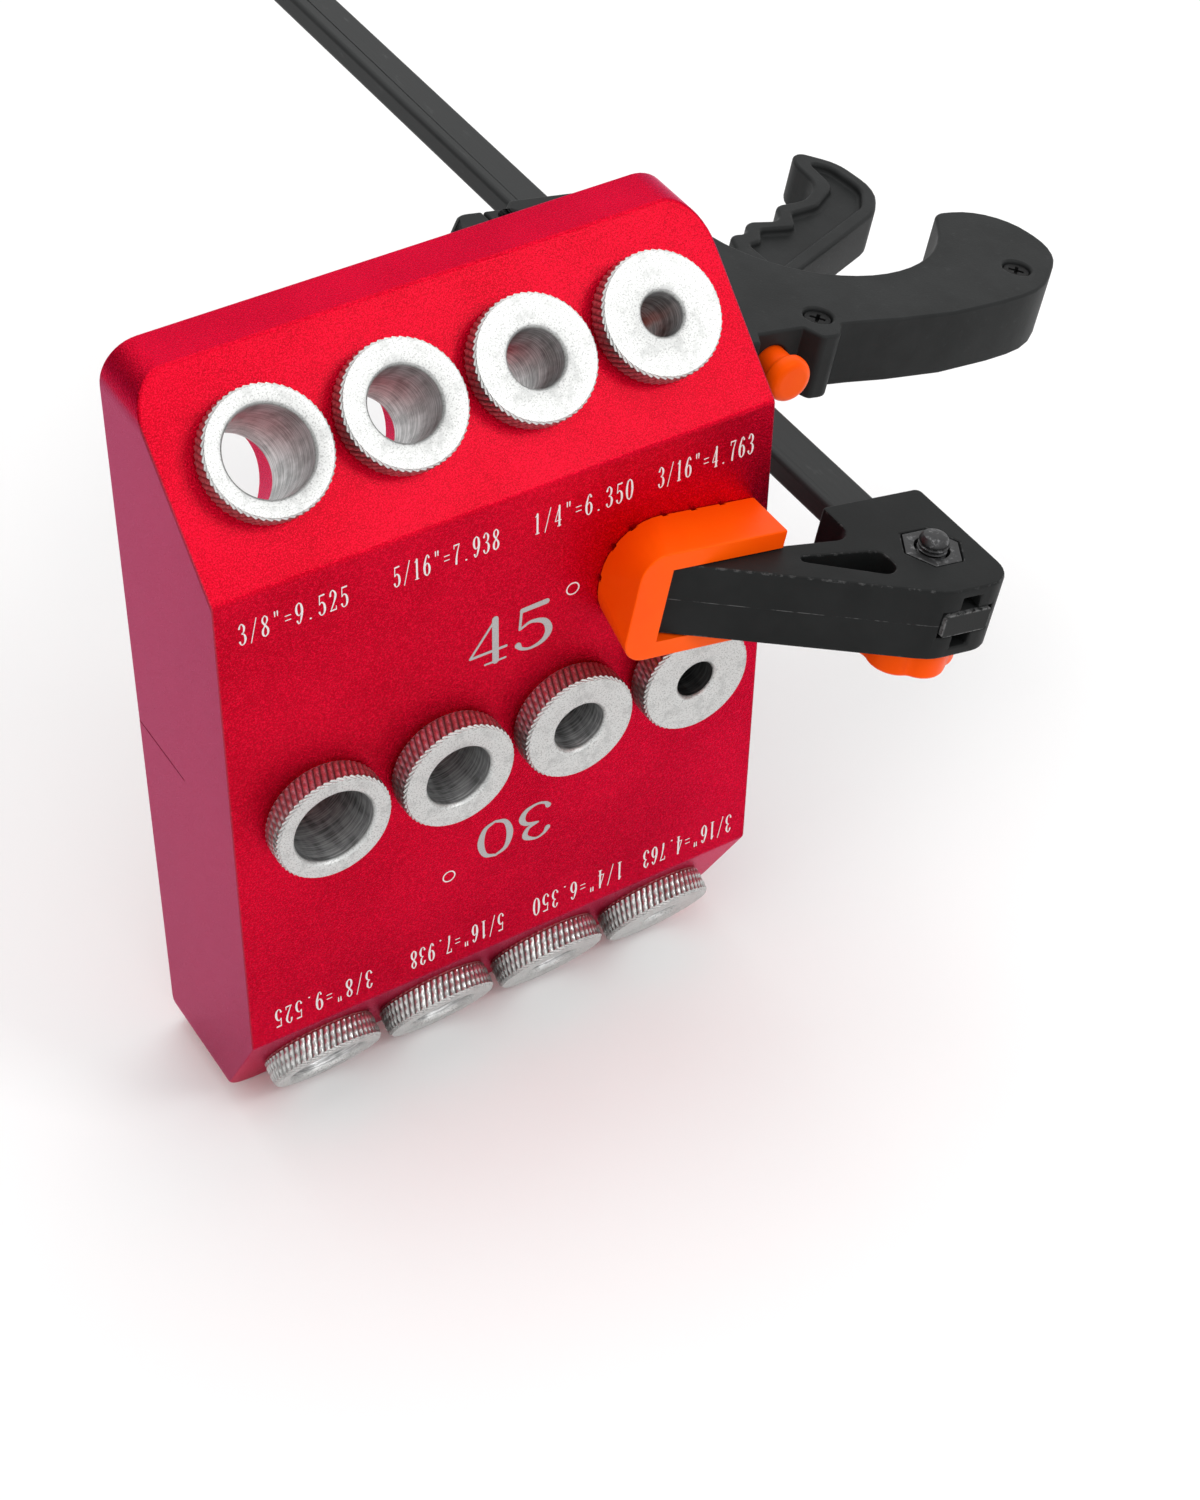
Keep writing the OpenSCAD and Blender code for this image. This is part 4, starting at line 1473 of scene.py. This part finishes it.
@dataclass
class JawPad:
    """A pad round a jaw's arm: a plate on the work at y = 0, grooved there, with a rim behind.

    x runs from the tip to the open end, and z across the jaw. The grooves are wide and deep,
    and what cuts them reaches beyond the pad: to reach_z each way across it, and over reach_x
    along it.
    """

    tip: float = -36.0 * MM
    half: float = 7.0 * MM
    size: Triple = (18.8 * MM, 6.8 * MM, 14.0 * MM)
    corner: float = 3.0 * MM
    corner_segments: int = 9
    open_corner: float = 6.4 * MM
    edge: float = 0.25 * MM
    edge_sharper: float = 60.0
    pocket: Triple = (-31.85 * MM, 1.6 * MM, -4.75 * MM)
    pocket_size: Triple = (20.0 * MM, 8.0 * MM, 9.5 * MM)
    wide: float = 0.8 * MM
    deep: float = 0.4 * MM
    upright: tuple[float, ...] = (-33.0 * MM, -29.2 * MM, -25.4 * MM, -21.6 * MM)
    level: tuple[float, ...] = (-3.8 * MM, 0.0, 3.8 * MM)
    reach_z: float = 9.0 * MM
    reach_x: Pair = (-40.0 * MM, -12.0 * MM)

    def at_tip(self, edge: bmesh.types.BMEdge) -> bool:
        """Picks out the tip's two upright corners.

        Args:
            edge: an edge of the plain block.

        Returns:
            Whether the edge is one of them.
        """
        first, last = (vert.co for vert in edge.verts)
        way = last - first
        return max(first.x, last.x) < self.tip + self.corner and abs(way.y) > way.length * 0.9

    def open_corners(self, piece: bpy.types.Object) -> None:
        """Widens the tip's corners towards the work, from the rim's radius to the plate's.

        Args:
            piece: the pad, in its own frame.
        """
        share = self.open_corner / self.corner
        for vert in piece.data.vertices:
            x, y, z = vert.co
            across = x - self.tip - self.corner
            up = abs(z) - self.half + self.corner
            if y < HAIR and across < HAIR and up > -HAIR:
                vert.co.x = self.open_corner + self.tip + across * share
                vert.co.z = math.copysign(self.half - self.open_corner + up * share, z)

    def build(self, name: str) -> bpy.types.Object:
        """The pad in its own frame.

        Args:
            name: its name.

        Returns:
            The pad.
        """
        piece = Bench.block(name, (self.tip, 0.0, -self.half), self.size)
        Bench.bevel(piece, self.at_tip, self.corner, self.corner_segments)
        self.open_corners(piece)
        Bench.soften(piece, self.edge, 2, self.edge_sharper)
        Bench.cut(piece, self.pocket, self.pocket_size)
        wide, high = self.wide, self.wide + self.deep
        for x in self.upright:
            corner = (x - wide / 2, -wide, -self.reach_z)
            Bench.cut(piece, corner, (wide, high, self.reach_z * 2))
        start, end = self.reach_x
        for z in self.level:
            Bench.cut(piece, (start, -wide, z - wide / 2), (end - start, high, wide))
        Bench.smooth(piece)
        return piece


@dataclass
class JawBolt:
    """The jaw's bolt about Z, with its threaded end up; z is 0 in the jaw's middle.

    turn and crown are (radius, height) in millimetres: of one turn of the thread above its
    foot, and of the rounded end.
    """

    radius: float = 2.0 * MM
    low: float = -7.74 * MM
    thread: float = 2.0 * MM
    pitch: float = 0.5 * MM
    turns: int = 7
    turn: tuple[Pair, ...] = ((1.5, 0.16), (1.5, 0.24), (1.74, 0.4), (1.74, 0.5))
    crown: tuple[Pair, ...] = ((1.6, 5.88), (1.4, 6.14), (1.0, 6.27), (0.5, 6.3), (0.08, 6.3))
    segments: int = 32
    crease: float = 32.0

    def build(self) -> bpy.types.Object:
        """The bolt in its own frame."""
        profile = [(self.radius, self.low), (self.radius, self.thread)]
        for count in range(self.turns):
            foot = self.thread + count * self.pitch
            profile += [(wide * MM, foot + high * MM) for wide, high in self.turn]
        profile += [(wide * MM, high * MM) for wide, high in self.crown]
        piece = Bench.turned("jaw_bolt_threaded", profile, self.segments, hollow=False)
        Bench.smooth(piece, self.crease, weighted=False)
        return piece


@dataclass(frozen=True)
class SoftSpring:
    """A spring on the bar that shortens as its plate moves.

    joint is the plate's, end is the y of the spring's fixed end, and stroke is how far its
    other end moves at the joint's limit.
    """

    node: str
    joint: str
    end: float
    stroke: float


@dataclass
class BarClamp:
    """The bar clamp: bar, jaws, pads, grip, trigger and what moves inside.

    roll is how far it leans about Y, in degrees. joint is the height in its own frame of the
    joint between the two shells, whose edges within joint_room stay sharp.
    """

    roll: float = 11.5
    origin: Vector = field(default_factory=lambda: Vector((46.9, -16.4075, 60.5)) * MM)
    bolt_front: float = 11.6 * MM
    joint: float = 1.9 * MM
    joint_room: float = 0.04 * MM
    wire_edge: float = 0.05 * MM
    drive: SoftSpring = SoftSpring("drive_spring", "drive_plate_slide", 49.543 * MM, 1.05 * MM)
    brake: SoftSpring = SoftSpring("brake_spring", "brake_tilt", 26.343 * MM, 1.75 * MM)

    @property
    def place(self) -> Matrix:
        """From the clamp's frame to the whole's."""
        turn = math.radians(self.roll)
        across = Vector((math.cos(turn), 0.0, -math.sin(turn)))
        up = Vector((math.sin(turn), 0.0, math.cos(turn)))
        return placed(across, Y, up, self.origin)

    def rounded(
        self,
        node: str,
        body: str,
        finish: Finish,
        width: float,
        segments: int = 2,
        sharper: float = Bench.SHARP,
        spare: Callable[[Vector], bool] = lambda spot: False,
    ) -> bpy.types.Object:
        """A node's own shape with rounded edges.

        Args:
            node: the node that it stands for.
            body: the body it rides on.
            finish: its finish.
            width: the rounding's width in metres.
            segments: faces across the rounding.
            sharper: edges that turn by more degrees than this are rounded.
            spare: says of a spot in the clamp's frame whether the edge there stays sharp.

        Returns:
            The piece.
        """
        piece = Bench.from_node(node, node + "_moulded")
        home = self.place.inverted()
        Bench.soften(piece, width, segments, sharper, lambda spot: spare(home @ spot))
        Bench.smooth(piece)
        piece.data.transform(home)
        Bench.put(piece, self.place)
        Bench.finish(piece, finish, body, node)
        return piece

    def pad(self, node: str, body: str, behind: bool) -> None:
        """A pad on the work.

        Args:
            node: the node that it stands for.
            body: the body it rides on.
            behind: it lies behind the work, and otherwise on its front.
        """
        low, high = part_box(node)
        contact = (low.y if behind else high.y) - self.origin.y
        turn = Matrix.Rotation(0.0 if behind else math.pi, 4, "X")
        piece = JawPad().build(node + "_moulded")
        Bench.put(piece, self.place @ Matrix.Translation(Y * contact) @ turn)
        Bench.finish(piece, ORANGE, body, node)

    def at_joint(self, spot: Vector) -> bool:
        """Says whether an edge at a spot lies in the joint of the two shells."""
        return abs(spot.z - self.joint) < self.joint_room

    def bolt(self) -> None:
        """The jaw's bolt."""
        piece = JawBolt().build()
        Bench.put(piece, self.place @ Matrix.Translation(Y * -self.bolt_front))
        Bench.finish(piece, BLACK_STEEL, "jaw_screw", "jaw_bolt")

    def spring(self, spring: SoftSpring) -> None:
        """A spring, with its edges rounded.

        Args:
            spring: its node and its joint.
        """
        piece = self.rounded(spring.node, "sliding_jaw", BRIGHT_STEEL, self.wire_edge)
        low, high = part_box(spring.node)
        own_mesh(piece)

    def build(self) -> None:
        """All the clamp's pieces."""
        self.rounded("bar", "clamp_bar", BAR_STEEL, width=0.18 * MM)
        self.rounded("bar_stop_pin", "clamp_bar", BRIGHT_STEEL, width=0.1 * MM)
        self.rounded("fixed_jaw", "clamp_bar", JAW_BLACK, width=0.3 * MM)
        self.rounded("jaw_nut", "clamp_bar", BLACK_STEEL, width=0.2 * MM)
        self.rounded("jaw_knob", "jaw_screw", ORANGE, width=0.6 * MM, segments=4)
        self.bolt()
        for shell in ("moving_jaw", "side_cover"):
            self.rounded(
                shell, "sliding_jaw", BLACK, width=0.4 * MM, segments=3, spare=self.at_joint
            )
        self.pad("front_pad", "clamp_bar", behind=False)
        self.pad("rear_pad", "sliding_jaw", behind=True)
        self.rounded("cover_screws", "sliding_jaw", SCREW_STEEL, width=0.06 * MM)
        self.rounded("trigger", "trigger", BLACK, width=0.5 * MM, segments=3)
        self.rounded("trigger_pin", "sliding_jaw", BRIGHT_STEEL, width=0.1 * MM)
        self.rounded("drive_plate", "drive_plate", BRIGHT_STEEL, width=0.1 * MM)
        self.spring(self.drive)
        self.rounded(
            "release_button", "release_button", ORANGE, width=0.3 * MM, segments=3, sharper=18.0
        )
        self.rounded("brake_plate", "brake_plate", BRIGHT_STEEL, width=0.1 * MM)
        self.spring(self.brake)


# ---------------------------------------------------------------- the studio


@dataclass(frozen=True)
class Lamp:
    """A soft square lamp: the way to it from the object, its distance and side, and its watts."""

    name: str
    toward: Triple
    away: float
    size: float
    power: float

    def hang(self, aim: Vector) -> None:
        """Hangs the lamp.

        Args:
            aim: the point that it faces.
        """
        data = bpy.data.lights.new(self.name, "AREA")
        data.size = self.size
        data.energy = self.power
        lamp = Bench.added(self.name, data)
        direction = Vector(self.toward).normalized()
        lamp.location = aim + direction * self.away
        lamp.rotation_euler = (-direction).to_track_quat("-Z", "Y").to_euler()


@dataclass(frozen=True)
class View:
    """The camera at the picture's viewing angle: its three directions, and its place in mm."""

    sensor: float = 36.0
    lens: float = 89.365
    clip: Pair = (0.01, 20.0)
    right: Triple = (0.849524, -0.527209, 0.018981)
    down: Triple = (-0.351671, -0.592755, -0.724547)
    ahead: Triple = (0.393239, 0.608845, -0.688964)
    place: Triple = (-120.68, -222.317, 274.79)

    def build(self) -> None:
        """Makes it the scene's camera."""
        data = bpy.data.cameras.new("camera")
        data.sensor_fit = "HORIZONTAL"
        data.sensor_width = self.sensor
        data.lens = self.lens
        data.clip_start, data.clip_end = self.clip
        camera = Bench.added("camera", data)
        down, ahead = Vector(self.down), Vector(self.ahead)
        camera.matrix_world = placed(Vector(self.right), -down, -ahead, Vector(self.place) * MM)
        bpy.context.scene.camera = camera


@dataclass
class Studio:
    """Pale floor, soft lamps, plain world and the camera.

    The flag is a dark area of the world, about the direction flag_way, that only glossy
    reflections see. A key lamp lights the upper slope, and a wide lamp hangs overhead.
    """

    floor_size: float = 6.0
    floor_low: float = -0.2 * MM
    floor_tone: float = 0.93
    floor_bounce: float = 0.7
    floor_glow: float = 0.03
    floor_rough: float = 0.85
    floor_gloss: float = 0.1
    world_level: float = 0.86
    flag_way: Triple = (-0.79, 0.6, 0.12)
    flag_edge: Pair = (0.68, 0.88)
    flag_depth: float = 0.86
    aim: float = 50.0 * MM
    lamps: tuple[Lamp, ...] = (
        Lamp("key", (0.405, -0.6, 0.67), away=0.79, size=0.24, power=1.2),
        Lamp("overhead", (0.2, 0.3, 0.93), away=0.9, size=0.6, power=1.7),
        Lamp("fill", (-0.25, -0.9, 0.4), away=0.9, size=0.7, power=0.8),
    )

    @staticmethod
    def seen(graph: Graph) -> Value:
        """Tells what the camera sees, straight or in a reflection, from what lights the scene.

        Args:
            graph: the tree.

        Returns:
            One where the camera looks, and zero for the light.
        """
        camera = graph.node("ShaderNodeLightPath", output="Is Camera Ray")
        outputs = camera.socket.node.outputs
        seen = camera.maths("MAXIMUM", Value(graph, outputs["Is Glossy Ray"]))
        return seen.maths("MAXIMUM", Value(graph, outputs["Is Transmission Ray"]))

    def floor(self) -> None:
        """A wide pale floor."""
        bpy.ops.object.select_all(action="DESELECT")
        bpy.ops.mesh.primitive_plane_add(size=self.floor_size, location=Z * self.floor_low)
        floor = bpy.context.object
        floor.name = "floor"
        material = bpy.data.materials.new("pale_floor")
        graph = Graph(material)
        seen = self.seen(graph)
        graph.surface(
            Base_Color=graph.mix(seen, grey(self.floor_bounce), grey(self.floor_tone)),
            Roughness=self.floor_rough,
            Specular_IOR_Level=self.floor_gloss,
            Emission_Color=graph.mix(seen, grey(0.0), grey(1.0)),
            Emission_Strength=self.floor_glow,
        )
        floor.data.materials.append(material)

    def world(self) -> None:
        """A white surround for what is seen, and a plain level of light on the object."""
        world = bpy.data.worlds.new("studio")
        bpy.context.scene.world = world
        graph = Graph(world)
        way = graph.node("ShaderNodeTexCoord", output="Generated")
        settings, inputs = {"operation": "DOT_PRODUCT"}, {0: way, 1: self.flag_way}
        toward = graph.node("ShaderNodeVectorMath", settings, inputs, output="Value")
        glossy = graph.node("ShaderNodeLightPath", output="Is Glossy Ray")
        flag = toward.between(*self.flag_edge) * glossy * self.flag_depth
        strength = self.seen(graph) * (1.0 - self.world_level) + self.world_level - flag
        light = graph.node("ShaderNodeBackground", inputs={0: grey(1.0), 1: strength})
        graph.node("ShaderNodeOutputWorld", inputs={0: light})

    def build(self) -> None:
        """Floor, world, lamps and camera."""
        self.floor()
        self.world()
        for lamp in self.lamps:
            lamp.hang(Z * self.aim)
        View().build()
        bpy.context.scene.view_settings.view_transform = "Standard"


def main() -> None:
    """Builds the guide, the clamp and the studio."""
    logging.basicConfig(level=logging.INFO, format="%(name)s: %(message)s")
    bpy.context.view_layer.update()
    GuideBlock().build()
    BarClamp().build()
    Studio().build()


if __name__ == "__main__":
    main()
